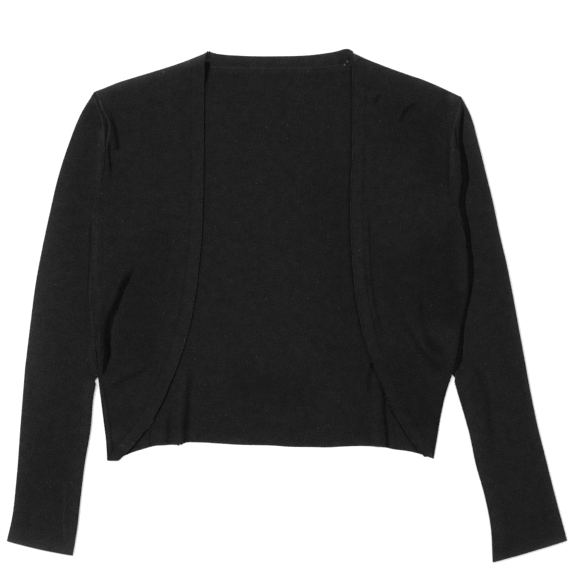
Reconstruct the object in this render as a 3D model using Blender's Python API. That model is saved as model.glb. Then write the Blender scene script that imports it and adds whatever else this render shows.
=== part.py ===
"""A knitted shrug, laid flat on a table with its front side up.

X runs across the garment towards the wearer's left sleeve, Y runs up towards the neck and Z runs up
from the table. The origin is on the table, under the middle of the whole garment. Sizes and tables
are in millimetres and the finished meshes are in metres.

Each piece of cloth is a grid of points inside its outline, lifted off the table by the layers and
folds under it, and thickened into a wall. The back lies on the table, the two fronts lie on the
back, the bands lie in line with the panels that they finish, and each sleeve is a flattened tube
that opens at its armhole.
"""

import math
from typing import NamedTuple

import bmesh
import bpy
import numpy as np

MM = 0.001

# Driving sizes of the cloth.
CLOTH = 1.3
BAND_CLOTH = 1.6
SEAM_GAP = 0.3
LAYER = CLOTH + SEAM_GAP

# Driving sizes of the bands and the sleeves.
FRONT_BAND = 13.5
SLEEVE_HEIGHT = 5.2
SLEEVE_TIP_HEIGHT = 3.6
SLEEVE_TIP_ROWS = 3
SLEEVE_RISE = 18.0
SLEEVE_SEAM_STRIP = 7.0
STRIP_SHARE = 0.4
ROLL_HEIGHT = 1.5

# How finely each piece is divided.
SIDE_ROWS = 6
ARMHOLE_ROWS = 13
BODY_ROWS = SIDE_ROWS + ARMHOLE_ROWS
CUFF_ROWS = 9
FRONT_COLUMNS = 11
BAND_COLUMNS = 2
FOLD_STEPS = 4
SLEEVE_TOP_STEPS = 6
SLEEVE_UNDER_STEPS = 5
CURVE_STEPS = 400

BLACK_KNIT = (0.014, 0.014, 0.014, 1.0)
KNIT_ROUGHNESS = 0.95


class Spot(NamedTuple):
    """A point of an outline, seen from above."""

    x: float
    y: float


class Fold(NamedTuple):
    """A fold that stands up from a panel. Its crest runs straight from one end to the other, and falls
    away over one width on its left, as seen from the first end, and over a far width on its right."""

    x0: float
    y0: float
    x1: float
    y1: float
    height0: float
    height1: float
    width: float
    far_width: float


class Roll(NamedTuple):
    """The sleeve's cloth rolled over beside the armhole seam: how far down the armhole, from 0 at the
    shoulder to 1 at the underarm, and how wide the roll is there."""

    down: float
    width: float


class Side(NamedTuple):
    """The outlines of one half of the garment. Each runs down from the shoulder, or out from it."""

    sign: float
    shoulder: tuple
    armhole: tuple
    side_seam: tuple
    front_edge: tuple
    band_foot: float
    sleeve_outer_cap: tuple
    sleeve_outer: tuple
    sleeve_inner: tuple
    folds: tuple
    rolls: tuple


RIGHT = Side(
    sign=-1.0,
    shoulder=(Spot(-88, 273.2), Spot(-103, 266.6), Spot(-116, 262.2), Spot(-142, 253.8),
              Spot(-168, 245.4), Spot(-194, 236.4), Spot(-208, 231.4)),
    armhole=(Spot(-208, 231.4), Spot(-203.6, 216), Spot(-198.2, 199.8), Spot(-197.1, 168.5),
             Spot(-200.3, 138.2), Spot(-205.7, 120), Spot(-208, 87.5), Spot(-209, 47.5),
             Spot(-212.2, 17.3), Spot(-209, -26), Spot(-204.7, -75.6)),
    side_seam=(Spot(-204.7, -75.6), Spot(-201.4, -101.5), Spot(-198.7, -123), Spot(-196, -144.7),
               Spot(-194.6, -166.3)),
    front_edge=(Spot(-88, 273.2), Spot(-89.6, 222.5), Spot(-90.2, 157.7), Spot(-92.9, 71.3),
                Spot(-97.2, 17.3), Spot(-104.8, -26), Spot(-117.7, -69.1), Spot(-133.9, -101.5),
                Spot(-148.5, -128.5), Spot(-166.9, -151.2), Spot(-182.5, -166.6)),
    band_foot=9.5,
    sleeve_outer_cap=(Spot(-211.5, 226.5), Spot(-221.9, 209.5), Spot(-236, 175), Spot(-246.8, 140.4),
                      Spot(-257.6, 97.2), Spot(-265.1, 62.6), Spot(-271.6, 28.1), Spot(-278.1, -23.8),
                      Spot(-283, -67)),
    sleeve_outer=(Spot(-283, -67), Spot(-287.8, -127.4), Spot(-292.1, -187.9), Spot(-297.5, -231.1),
                  Spot(-301.9, -255)),
    sleeve_inner=(Spot(-204.7, -75.6), Spot(-208.4, -92.9), Spot(-212.8, -136.1), Spot(-218.7, -170.6),
                  Spot(-223, -205.2), Spot(-226.8, -239.8), Spot(-231.7, -268.4)),
    folds=(Fold(-155, 55, -189.5, -50, 0.0, 5.0, 34.0, 10.0),
           Fold(-192, 200, -190, 150, 1.2, 0.6, 8.0, 6.0)),
    rolls=(Roll(0.0, 0.0), Roll(1.0, 0.0)),
)

LEFT = Side(
    sign=1.0,
    shoulder=(Spot(69.7, 273.8), Spot(84.2, 266.4), Spot(104.2, 258.1), Spot(130.1, 249.5),
              Spot(156.1, 239.8), Spot(186.3, 225.7)),
    armhole=(Spot(186.3, 225.7), Spot(182.6, 209.5), Spot(177.7, 196.6), Spot(174.4, 179.3),
             Spot(173.9, 157.7), Spot(174.4, 130.7), Spot(177.6, 113.5), Spot(184.1, 98.3),
             Spot(190.6, 79.9), Spot(194.4, 60.5), Spot(195.5, 38.9), Spot(194.9, 17.3),
             Spot(191.7, -2.2), Spot(187.4, -20.5), Spot(184.1, -44.3), Spot(177.7, -73.4)),
    side_seam=(Spot(177.7, -73.4), Spot(171.2, -96.1), Spot(165.8, -117.7), Spot(160.4, -144.7),
               Spot(157.7, -164)),
    front_edge=(Spot(69.7, 273.8), Spot(69.7, 222.5), Spot(69.7, 168.5), Spot(69.1, 60.5),
                Spot(70.2, 17.3), Spot(76.1, -26), Spot(88, -63.7), Spot(102.1, -96.1),
                Spot(117.2, -126.4), Spot(132.3, -145.8), Spot(147.4, -162)),
    band_foot=8.5,
    sleeve_outer_cap=(Spot(189.4, 220.5), Spot(196, 209.5), Spot(206.8, 175), Spot(215.5, 140.4),
                      Spot(220.9, 114.5), Spot(228.4, 79.9), Spot(237.1, 45.4), Spot(243.5, 10.8),
                      Spot(250, -23.8), Spot(256, -55)),
    sleeve_outer=(Spot(256, -55), Spot(263, -92.9), Spot(269.5, -127.4), Spot(278.1, -162),
                  Spot(286.7, -196.6), Spot(296.5, -231.1), Spot(301.9, -251.8)),
    sleeve_inner=(Spot(177.7, -73.4), Spot(184.1, -92.9), Spot(191.7, -118.8), Spot(196, -136.1),
                  Spot(203.6, -170.6), Spot(213.3, -205.2), Spot(219.8, -239.8), Spot(221.9, -276.5)),
    folds=(Fold(127, 1, 156, -53, 2.6, 1.6, 14.0, 12.0),
           Fold(195.5, 40, 178, -72, 0.4, 2.6, 14.0, 14.0)),
    rolls=(Roll(0.0, 0.0), Roll(0.14, 8.0), Roll(0.24, 12.5), Roll(0.36, 12.5), Roll(0.44, 5.0),
           Roll(0.52, 0.0), Roll(1.0, 0.0)),
)

# The back's hem from the wearer's right to left, its neckline, and the top edge of the neck band.
HEM = (
    (Spot(-194.6, -166.3), Spot(-182, -163.5), Spot(-167.9, -157.7), Spot(-155, -153.4)),
    (Spot(-155, -153.4), Spot(-142, -150.1), Spot(-116, -149), Spot(-95, -147.4)),
    (Spot(-95, -147.4), Spot(-77, -148), Spot(-38, -150.1), Spot(0.5, -152.3), Spot(52.4, -152.3),
     Spot(86, -151.4)),
    (Spot(86, -151.4), Spot(104, -152.6), Spot(117.2, -154.4), Spot(130.1, -156.6)),
    (Spot(130.1, -156.6), Spot(143.1, -159.8), Spot(157.7, -164)),
)
HEM_COLUMNS = (5, 15, 11, 11, 4)
NECKLINE = (Spot(-83, 257.4), Spot(-51.3, 256), Spot(-5, 256), Spot(35, 257), Spot(62.5, 259.6))
NECK_TOP = (Spot(-86.9, 274.3), Spot(-77.2, 271.6), Spot(-51.3, 269.5), Spot(-12.4, 268.9),
            Spot(26.5, 270.5), Spot(52.4, 274.4), Spot(67.4, 276.5))
SHOULDER_COLUMNS = 15
NECK_COLUMNS = sum(HEM_COLUMNS) - 2 * SHOULDER_COLUMNS - 2

# Flutes that stand up along the hem of the back, between the two front edges.
HEM_FLUTES = (
    Fold(-136, -151, -126, -96, 2.2, 0.0, 8.0, 8.0),
    Fold(-116, -149, -114, -76, 3.0, 0.0, 8.0, 8.0),
    Fold(-98, -147, -99, -84, 1.6, 0.0, 8.0, 10.0),
    Fold(96, -152, 91, -78, 2.8, 0.0, 8.0, 8.0),
    Fold(111, -154, 107, -128, 1.6, 0.0, 6.5, 6.0),
)


def smooth_curve(spots, steps):
    """Points evenly spaced along a smooth curve through the spots, as rows of x and y."""
    knots = np.array(spots, float)
    chords = np.linalg.norm(np.diff(knots, axis=0), axis=1)
    stations = np.concatenate([[0.0], np.cumsum(chords)])
    slopes = np.gradient(knots, stations, axis=0)
    along = np.linspace(0.0, stations[-1], CURVE_STEPS)
    span = np.clip(np.searchsorted(stations, along, side="right") - 1, 0, len(chords) - 1)
    length = chords[span][:, None]
    t = ((along - stations[span])[:, None]) / length
    fine = (
        (2 * t**3 - 3 * t**2 + 1) * knots[span]
        + (t**3 - 2 * t**2 + t) * length * slopes[span]
        + (3 * t**2 - 2 * t**3) * knots[span + 1]
        + (t**3 - t**2) * length * slopes[span + 1]
    )
    return spaced(fine, steps)


def spaced(line, steps):
    """The line again, as points at even distances along it."""
    walked = np.concatenate([[0.0], np.cumsum(np.linalg.norm(np.diff(line, axis=0), axis=1))])
    wanted = np.linspace(0.0, walked[-1], steps + 1)
    return np.stack([np.interp(wanted, walked, line[:, axis]) for axis in range(2)], axis=1)


def chain(*lines):
    """Lines that meet end to end, as one."""
    return np.concatenate([lines[0]] + [line[1:] for line in lines[1:]])


def moved_out(line, distance, sign):
    """The line moved sideways, away from the middle of the garment, by one or many distances."""
    along = np.gradient(line, axis=0)
    along /= np.linalg.norm(along, axis=1)[:, None]
    outward = np.stack([-along[:, 1], along[:, 0]], axis=1)
    outward *= np.sign(outward[:, :1] * sign)
    return line + outward * np.reshape(distance, (-1, 1))


def fill(bottom, top, left, right):
    """A grid of points inside four outlines. Its rows run up, and its columns run from left to right."""
    u = np.linspace(0.0, 1.0, len(bottom))[None, :, None]
    v = np.linspace(0.0, 1.0, len(left))[:, None, None]
    up = (1 - v) * bottom[None] + v * top[None]
    across = (1 - u) * left[:, None] + u * right[:, None]
    corners = (1 - v) * ((1 - u) * bottom[0] + u * bottom[-1]) + v * ((1 - u) * top[0] + u * top[-1])
    return up + across - corners


def ease(t):
    """0 below 0, 1 above 1, and a smooth step between."""
    t = np.clip(t, 0.0, 1.0)
    return t * t * (3 - 2 * t)


def fold_height(folds, points):
    """How high the highest of the folds lifts the cloth at each point."""
    lift = np.zeros(points.shape[:-1])
    for fold in folds:
        start = np.array([fold.x0, fold.y0])
        run = np.array([fold.x1, fold.y1]) - start
        length = np.linalg.norm(run)
        offset = points - start
        along = (offset @ run) / length**2
        aside = (offset[..., 0] * run[1] - offset[..., 1] * run[0]) / length
        width = np.where(aside > 0, fold.far_width, fold.width)
        crest = fold.height0 + (fold.height1 - fold.height0) * ease(along)
        past_end = np.maximum(np.maximum(-along, along - 1), 0.0) * length
        across = 1 - ease(np.abs(aside) / width)
        lift = np.maximum(lift, crest * across * (1 - ease(past_end / fold.far_width)))
    return lift


def back_lift(points):
    """How high the underside of the back lies over the table at each point."""
    return fold_height(HEM_FLUTES, points)


def armhole_line(side):
    """The armhole seam, from the shoulder down to the underarm."""
    return smooth_curve(side.armhole, ARMHOLE_ROWS)


def body_side(side):
    """The side of the body from the hem up: the side seam, and then the armhole."""
    down = chain(armhole_line(side), smooth_curve(side.side_seam, SIDE_ROWS))
    return down[::-1]


def knit_material(name):
    """The black knit, as the piece's own material."""
    material = bpy.data.materials.new(name + "_knit")
    material.use_nodes = True
    shader = material.node_tree.nodes["Principled BSDF"]
    shader.inputs["Base Color"].default_value = BLACK_KNIT
    shader.inputs["Roughness"].default_value = KNIT_ROUGHNESS
    shader.inputs["Metallic"].default_value = 0.0
    return material


def cloth_object(name, grid, thickness, offset):
    """A wall of cloth on a grid of points, given as rows of x, y and z with their normals up."""
    row_steps = grid.shape[0] - 1
    column_steps = grid.shape[1] - 1
    sheet = bmesh.new()
    bmesh.ops.create_grid(sheet, x_segments=column_steps, y_segments=row_steps, size=1.0)
    for vert in sheet.verts:
        column = round((vert.co.x + 1) / 2 * column_steps)
        row = round((vert.co.y + 1) / 2 * row_steps)
        vert.co = grid[row, column] * MM
    sheet.normal_update()
    mesh = bpy.data.meshes.new(name)
    sheet.to_mesh(mesh)
    sheet.free()
    mesh.materials.append(knit_material(name))
    mesh.shade_smooth()
    piece = bpy.data.objects.new(name, mesh)
    bpy.context.scene.collection.objects.link(piece)
    wall = piece.modifiers.new("wall", "SOLIDIFY")
    wall.thickness = thickness * MM
    wall.offset = offset
    wall.use_even_offset = True
    wall.use_rim = True
    return piece


def lifted(points, height):
    """The points with a height each."""
    return np.concatenate([points, np.broadcast_to(height, points.shape[:-1])[..., None]], axis=-1)


def make_back():
    """The back panel, on the table."""
    bottom = chain(*[smooth_curve(spots, steps) for spots, steps in zip(HEM, HEM_COLUMNS)])
    right_shoulder = smooth_curve(RIGHT.shoulder, SHOULDER_COLUMNS)[::-1]
    left_shoulder = smooth_curve(LEFT.shoulder, SHOULDER_COLUMNS)
    neckline = smooth_curve(NECKLINE, NECK_COLUMNS)
    top = np.concatenate([right_shoulder, neckline, left_shoulder])
    points = fill(bottom, top, body_side(RIGHT), body_side(LEFT))
    return cloth_object("back_panel", lifted(points, back_lift(points)), CLOTH, 1.0)


def make_neck_band():
    """The band along the back of the neck, in line with the back panel."""
    low = smooth_curve(NECKLINE, NECK_COLUMNS)
    low[:, 1] += SEAM_GAP
    low[0, 0] += SEAM_GAP
    low[-1, 0] -= SEAM_GAP
    high = smooth_curve(NECK_TOP, NECK_COLUMNS)
    rows = np.linspace(0.0, 1.0, BAND_COLUMNS + 1)[:, None, None]
    points = low[None] * (1 - rows) + high[None] * rows
    return cloth_object("back_neck_band", lifted(points, 0.0), BAND_CLOTH, 1.0)


def front_edge_lines(side):
    """The front's free edge, from the neck down, and the band's seam line beside it."""
    edge = smooth_curve(side.front_edge, BODY_ROWS)
    seam = moved_out(edge, FRONT_BAND, side.sign)
    seam[0] = side.shoulder[1]
    seam[-1] = edge[-1] + np.array([side.sign * side.band_foot, 0.0])
    return edge, seam


def make_front(side, name):
    """One front panel, on the back, from its side seam and armhole to its band."""
    _, band_seam = front_edge_lines(side)
    inner = moved_out(band_seam, SEAM_GAP, side.sign)[::-1]
    inner[0] = band_seam[-1] + np.array([side.sign * SEAM_GAP, 0.0])
    outer = body_side(side)
    shoulder = smooth_curve((Spot(*inner[-1]),) + side.shoulder[2:], FRONT_COLUMNS)
    hem = smooth_curve((Spot(*inner[0]), Spot(*outer[0])), FRONT_COLUMNS)
    if side.sign > 0:
        points = fill(hem, shoulder, inner, outer)
    else:
        points = fill(hem[::-1], shoulder[::-1], outer, inner)
    height = LAYER + back_lift(points) + fold_height(side.folds, points)
    return cloth_object(name, lifted(points, height), CLOTH, 1.0)


def make_front_band(side, name):
    """The band along one front edge, from the shoulder down to the side seam."""
    edge, seam = front_edge_lines(side)
    columns = np.linspace(0.0, 1.0, BAND_COLUMNS + 1)[None, :, None]
    points = edge[:, None] * (1 - columns) + seam[:, None] * columns
    points = points[::-1] if side.sign > 0 else points[::-1, ::-1]
    height = LAYER + back_lift(points) + fold_height(side.folds, points)
    return cloth_object(name, lifted(points, height), BAND_CLOTH, 1.0)


def open_section(width, height, roll):
    """Outer line of the cloth round the sleeve at the armhole, as distances in from the outer fold and
    heights: from the seam with the front, round the fold, to the seam with the back."""
    fold = height / 2
    strip = min(max(SLEEVE_SEAM_STRIP, roll), STRIP_SHARE * (width - fold))
    from_seam = np.concatenate([
        np.linspace(0.0, strip, FOLD_STEPS + 1)[:-1],
        np.linspace(strip, width - fold, SLEEVE_TOP_STEPS + 1),
    ])
    front_top = LAYER + CLOTH
    rise = ease((from_seam - roll) / min(SLEEVE_RISE, width - fold))
    heights = front_top + (height - front_top) * rise
    if roll > 0:
        rolled = np.clip(from_seam / roll, 0.0, 1.0)
        heights += ROLL_HEIGHT * min(roll / SLEEVE_SEAM_STRIP, 1.0) * np.sin(math.pi * rolled)
    top = np.stack([width - from_seam, heights], axis=1)
    under = np.stack([np.linspace(fold, width, SLEEVE_UNDER_STEPS + 1),
                      np.zeros(SLEEVE_UNDER_STEPS + 1)], axis=1)
    return chain(top, half_turn(fold, fold, math.pi / 2), under)


def closed_section(width, height):
    """The same line where the sleeve is a whole tube: from its seam, which lies under its inner fold,
    round both folds and back to the seam."""
    fold = height / 2
    across = np.linspace(width - fold, fold, SLEEVE_TOP_STEPS + 1)
    top = np.stack([across, np.full(len(across), height)], axis=1)
    under = np.stack([np.linspace(fold, width - fold - SEAM_GAP, SLEEVE_UNDER_STEPS + 1),
                      np.zeros(SLEEVE_UNDER_STEPS + 1)], axis=1)
    inner_fold = half_turn(width - fold, fold, -math.pi / 2)
    return chain(inner_fold, top, half_turn(fold, fold, math.pi / 2), under)


def half_turn(centre, radius, start):
    """A fold of the cloth: half a circle, anticlockwise from its start angle."""
    angles = np.linspace(start, start + math.pi, FOLD_STEPS + 1)
    return np.stack([centre + radius * np.cos(angles), radius + radius * np.sin(angles)], axis=1)


def roll_width(side, down):
    """How wide the sleeve's cloth is rolled over beside the seam, part of the way down the armhole."""
    return float(np.interp(down, [roll.down for roll in side.rolls], [roll.width for roll in side.rolls]))


def make_sleeve(side, name):
    """One sleeve, from the armhole to the cuff."""
    armhole = moved_out(armhole_line(side), SEAM_GAP, side.sign)
    inner = chain(armhole, smooth_curve(side.sleeve_inner, CUFF_ROWS))
    cap = smooth_curve(side.sleeve_outer_cap, ARMHOLE_ROWS)
    outer = chain(cap, smooth_curve(side.sleeve_outer, CUFF_ROWS))
    rows = []
    for row, (fold, seam) in enumerate(zip(outer, inner)):
        width = np.linalg.norm(seam - fold)
        inward = (seam - fold) / width
        grown = float(ease(row / SLEEVE_TIP_ROWS))
        height = SLEEVE_TIP_HEIGHT + (SLEEVE_HEIGHT - SLEEVE_TIP_HEIGHT) * grown
        if row <= ARMHOLE_ROWS:
            line = open_section(width, height, roll_width(side, row / ARMHOLE_ROWS))
        else:
            line = closed_section(width, height)
        rows.append(lifted(fold + line[:, :1] * inward, line[:, 1]))
    grid = np.array(rows)
    grid = grid[:, ::-1] if side.sign > 0 else grid
    return cloth_object(name, grid, CLOTH, -1.0)


def clear_scene():
    """Removes every object that the scene starts with."""
    for item in list(bpy.data.objects):
        bpy.data.objects.remove(item)


def main():
    """Makes each piece of the shrug."""
    clear_scene()
    make_back()
    make_neck_band()
    for side, word in ((RIGHT, "right"), (LEFT, "left")):
        make_front(side, word + "_front")
        make_front_band(side, word + "_front_band")
        make_sleeve(side, word + "_sleeve")


main()
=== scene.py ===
"""Looks of a black knitted shrug that lies flat on a pale floor, its front side up.

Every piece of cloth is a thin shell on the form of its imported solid. Each starts as a grid over the
outline of its cut, is divided more finely along its creases, and is then lifted by the layers,
folds, seams and hems under it. Tables and sizes are in millimetres, and finished meshes and the
studio in metres. Left and right are the wearer's, X runs towards the wearer's left sleeve, Y towards
the neck and Z up.
"""

import logging
import math
from dataclasses import dataclass, replace
from enum import Enum
from typing import Any, NamedTuple

import bmesh
import bpy
import numpy as np
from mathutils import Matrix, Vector


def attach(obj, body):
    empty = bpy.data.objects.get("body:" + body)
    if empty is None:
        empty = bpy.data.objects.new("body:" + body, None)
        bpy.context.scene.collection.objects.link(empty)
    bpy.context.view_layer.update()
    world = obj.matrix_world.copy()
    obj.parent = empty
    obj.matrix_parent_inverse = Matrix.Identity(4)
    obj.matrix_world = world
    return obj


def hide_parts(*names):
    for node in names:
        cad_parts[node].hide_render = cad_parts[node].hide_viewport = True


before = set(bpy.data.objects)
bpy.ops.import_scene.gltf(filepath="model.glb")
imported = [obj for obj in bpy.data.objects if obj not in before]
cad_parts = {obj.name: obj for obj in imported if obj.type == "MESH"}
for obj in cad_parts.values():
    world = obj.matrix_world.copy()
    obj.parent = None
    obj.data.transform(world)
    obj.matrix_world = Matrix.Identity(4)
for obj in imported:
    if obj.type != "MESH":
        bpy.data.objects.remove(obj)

log = logging.getLogger("shrug")

MM = 0.001
Array = np.ndarray

# A point seen from above, as x and y.
Spot = tuple[float, float]

# Heights of the cloth's upper face above the table, layer by layer, and of what the fronts lie on.
BACK_TOP = 1.1
NECK_BAND_TOP = 2.4
FRONT_FLOOR = BACK_TOP + 0.1
FRONT_TOP = 2.9
BAND_TOP = 3.4

# How softly a panel settles on what it lies on, in square millimetres.
REST_BLEND = 0.09

# The gap between two pieces that are sewn together, and the front band's width.
SEAM_GAP = 0.06
FRONT_BAND = 13.0

# A turned hem or cuff: how far it stands up, the width over which it comes down again, the depth of
# the groove along it, the painted highlight on the hem and over what width that fades, and how
# wide its groove is and how dark its painted shade.
HEM_RISE = 0.5
HEM_STEP = 1.0
GROOVE_DEPTH = 0.35
HEM_LIGHT = 1.12
HEM_FADE = 2.0
HEM_GROOVE = 0.6
HEM_SHADE = 0.25

# The width over which the painted highlight of the lit fuzz along an edge fades.
RIM_FADE = 2.9

# The waves of laid cloth, each with its length, its direction in degrees and its phase, how far
# and how slowly they bend to and fro, their height together, and how much painted light they put
# on the cloth's colour, lighter where they rise.
WAVES = ((46, 12, 0.4), (37, 71, 2.1), (31, 118, 4.0), (27, 161, 1.2), (23, 39, 5.1),
         (19, 93, 3.3))
LONGEST_WAVE = 46
WAVE_BEND = 1.5
WAVE_WANDER = 1.7
WAVES_HEIGHT = 2.4
UNEVEN_LIGHT = 0.04

# The length over which a crease narrows to its end, and how full a pinched crease's sides are.
TAPER_RUN = 24.0
PINCH_FULLNESS = 0.6

# Beside a crease up to the first width the cloth is divided once, and beside one up to the second
# width twice, no further from the crest than the third. The margin is added to both.
SOFT_CREASE = 12.0
SHARP_CREASE = 5.0
SHARP_CREST = 3.5
CREASE_MARGIN = 1.0

# A crease's line has so many steps for each point of its path. To say how finely the cloth beside
# it is divided, one step in so many is enough.
CREASE_STEPS = 6
COARSE_STEP = 3

# How finely curves and a panel's sides are followed, how far from its sides a panel's closest grid
# lines are, and the fewest cells between those.
CURVE_SAMPLES = 400
SIDE_SAMPLES = 80
SIDE_LINES = (0.0, 0.25, 0.6, 1.0, 1.5, 2.1, 3.0, 4.2, 6.0)
FEWEST_CELLS = 4


class Form(Enum):
    """How a crease's side falls away from its crest."""

    ROUND = "round"
    PINCHED = "pinched"


@dataclass(frozen=True)
class Crease:
    """A trough or ridge in the cloth, along a path seen from above.

    Its height is above the plain cloth, or below it where it is negative. Its left and right widths
    are seen along the path. It leans sideways by its lean at the crest, to the left where that is
    positive. Its light is a factor on the cloth's colour at its crest, 1 being as plain cloth:
    painted shade below 1 and a painted highlight above, except for a few specks of pale thread.
    Its tapers are the shares of its widths that it starts and ends with.
    """

    path: tuple[Spot, ...]
    height: float
    left: float
    right: float
    fade_in: float = 20.0
    fade_out: float = 20.0
    form: Form = Form.ROUND
    lean: float = 0.0
    light: float = 1.0
    taper: float = 1.0
    end_taper: float = 1.0


@dataclass(frozen=True)
class Edge:
    """How the cloth's upper face rolls down at one edge of a panel: how far, and over what width.

    A round edge is a fold's, and a pinched one a seam's. Its light is the painted light or shade
    on the cloth's colour beside the edge, 1 being as plain cloth, and its rim a painted highlight
    along its very edge, where the fuzz catches light.
    """

    drop: float
    reach: float
    light: float = 1.0
    light_reach: float = 4.0
    form: Form = Form.ROUND
    rim: float = 0.0


# The lights and rims of these edges are painted: highlights along folds and turned hems, and a little
# shade beside linked seams.
FOLDED = Edge(drop=1.35, reach=2.4, light=1.25, light_reach=8.0)
SEWN = Edge(drop=0.7, reach=2.2, form=Form.PINCHED)
LINKED = Edge(drop=0.3, reach=1.8, light=0.92, light_reach=1.4, form=Form.PINCHED)
TURNED = Edge(drop=1.0, reach=1.6, light=1.3, light_reach=8.0, rim=0.4)


class HeadRow(NamedTuple):
    """The sleeve's upper layer beside the armhole seam.

    down is how far down the armhole the row is, strip the width of the cloth between the seam and
    the crevice, crown how far the strip stands above the crevice's floor, gap the crevice's width,
    floor its height above the table, lip the height of the sleeve's cloth beyond it, rise the
    width over which that cloth comes up and dark the share of the crevice's colour that painted
    shade takes away.
    """

    down: float
    strip: float
    crown: float
    gap: float
    floor: float
    lip: float
    rise: float
    dark: float


class TubeRow(NamedTuple):
    """The sleeve's rounded section, part of the way from the shoulder to the cuff.

    crown is the height of its upper layer, outer_round and inner_round the widths over which that
    layer rounds off at the outer and the inner fold, glow the painted highlight on the outer fold's
    colour and spread the width over which that fades.
    """

    down: float
    crown: float
    outer_round: float
    inner_round: float
    glow: float
    spread: float


@dataclass(frozen=True)
class Side:
    """The outlines of one half of the garment, each down from the shoulder or out from it.

    sign is 1 on the wearer's left and -1 on the right. band_foot is the front band's width at its
    lower end. band_lip and band_seam are the painted light or shade on the band at its free edge
    and at its seam, and band_tone how light the band is between. shoulder_rim and sleeve_rim are
    painted highlights along the shoulder's and the sleeve's folds, where the fuzz catches light,
    and cuff_glow a painted highlight on the cloth near the cuff, over cuff_reach. cuff_bow is how
    far the middle of the cuff's edge bows out.
    """

    sign: float
    shoulder: tuple[Spot, ...]
    armhole: tuple[Spot, ...]
    side_seam: tuple[Spot, ...]
    front_edge: tuple[Spot, ...]
    band_foot: float
    sleeve_outer_cap: tuple[Spot, ...]
    sleeve_outer: tuple[Spot, ...]
    sleeve_inner: tuple[Spot, ...]
    band_lip: float
    band_seam: float
    band_tone: float
    shoulder_rim: float
    sleeve_rim: float
    cuff_bow: float
    cuff_glow: float
    cuff_reach: float
    front_creases: tuple[Crease, ...]
    sleeve_creases: tuple[Crease, ...]
    head: tuple[HeadRow, ...]
    tube: tuple[TubeRow, ...]


# Creases that the front and the sleeve share: painted highlights on the tips of the shoulders, and
# the right armhole's seam, a low ridge with a painted highlight.
RIGHT_TIP = Crease(((-208.2, 232), (-205, 224.6), (-201.4, 215.6), (-199.4, 209)),
                   0.0, 3.0, 3.0, 0.0, 8.0, light=1.6)
RIGHT_SEAM = Crease(((-201.5, 134), (-205.7, 120), (-207.2, 104), (-208, 87.5), (-208.6, 66),
                     (-209, 47.5), (-210.8, 32), (-212.2, 17.3), (-211.6, 0), (-209.6, -20),
                     (-207.6, -40)), 0.4, 2.4, 2.4, 10.0, 14.0, light=1.55)
LEFT_TIP = Crease(((186.5, 226.2), (182.6, 209.5), (178.5, 198)),
                  0.3, 2.4, 2.4, 0.0, 8.0, light=1.5)

# In the sides' crease tables a light below 1 is painted shade and one above 1 a painted highlight, on
# the cloth's colour; a crease with no height is nothing but that.
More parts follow.
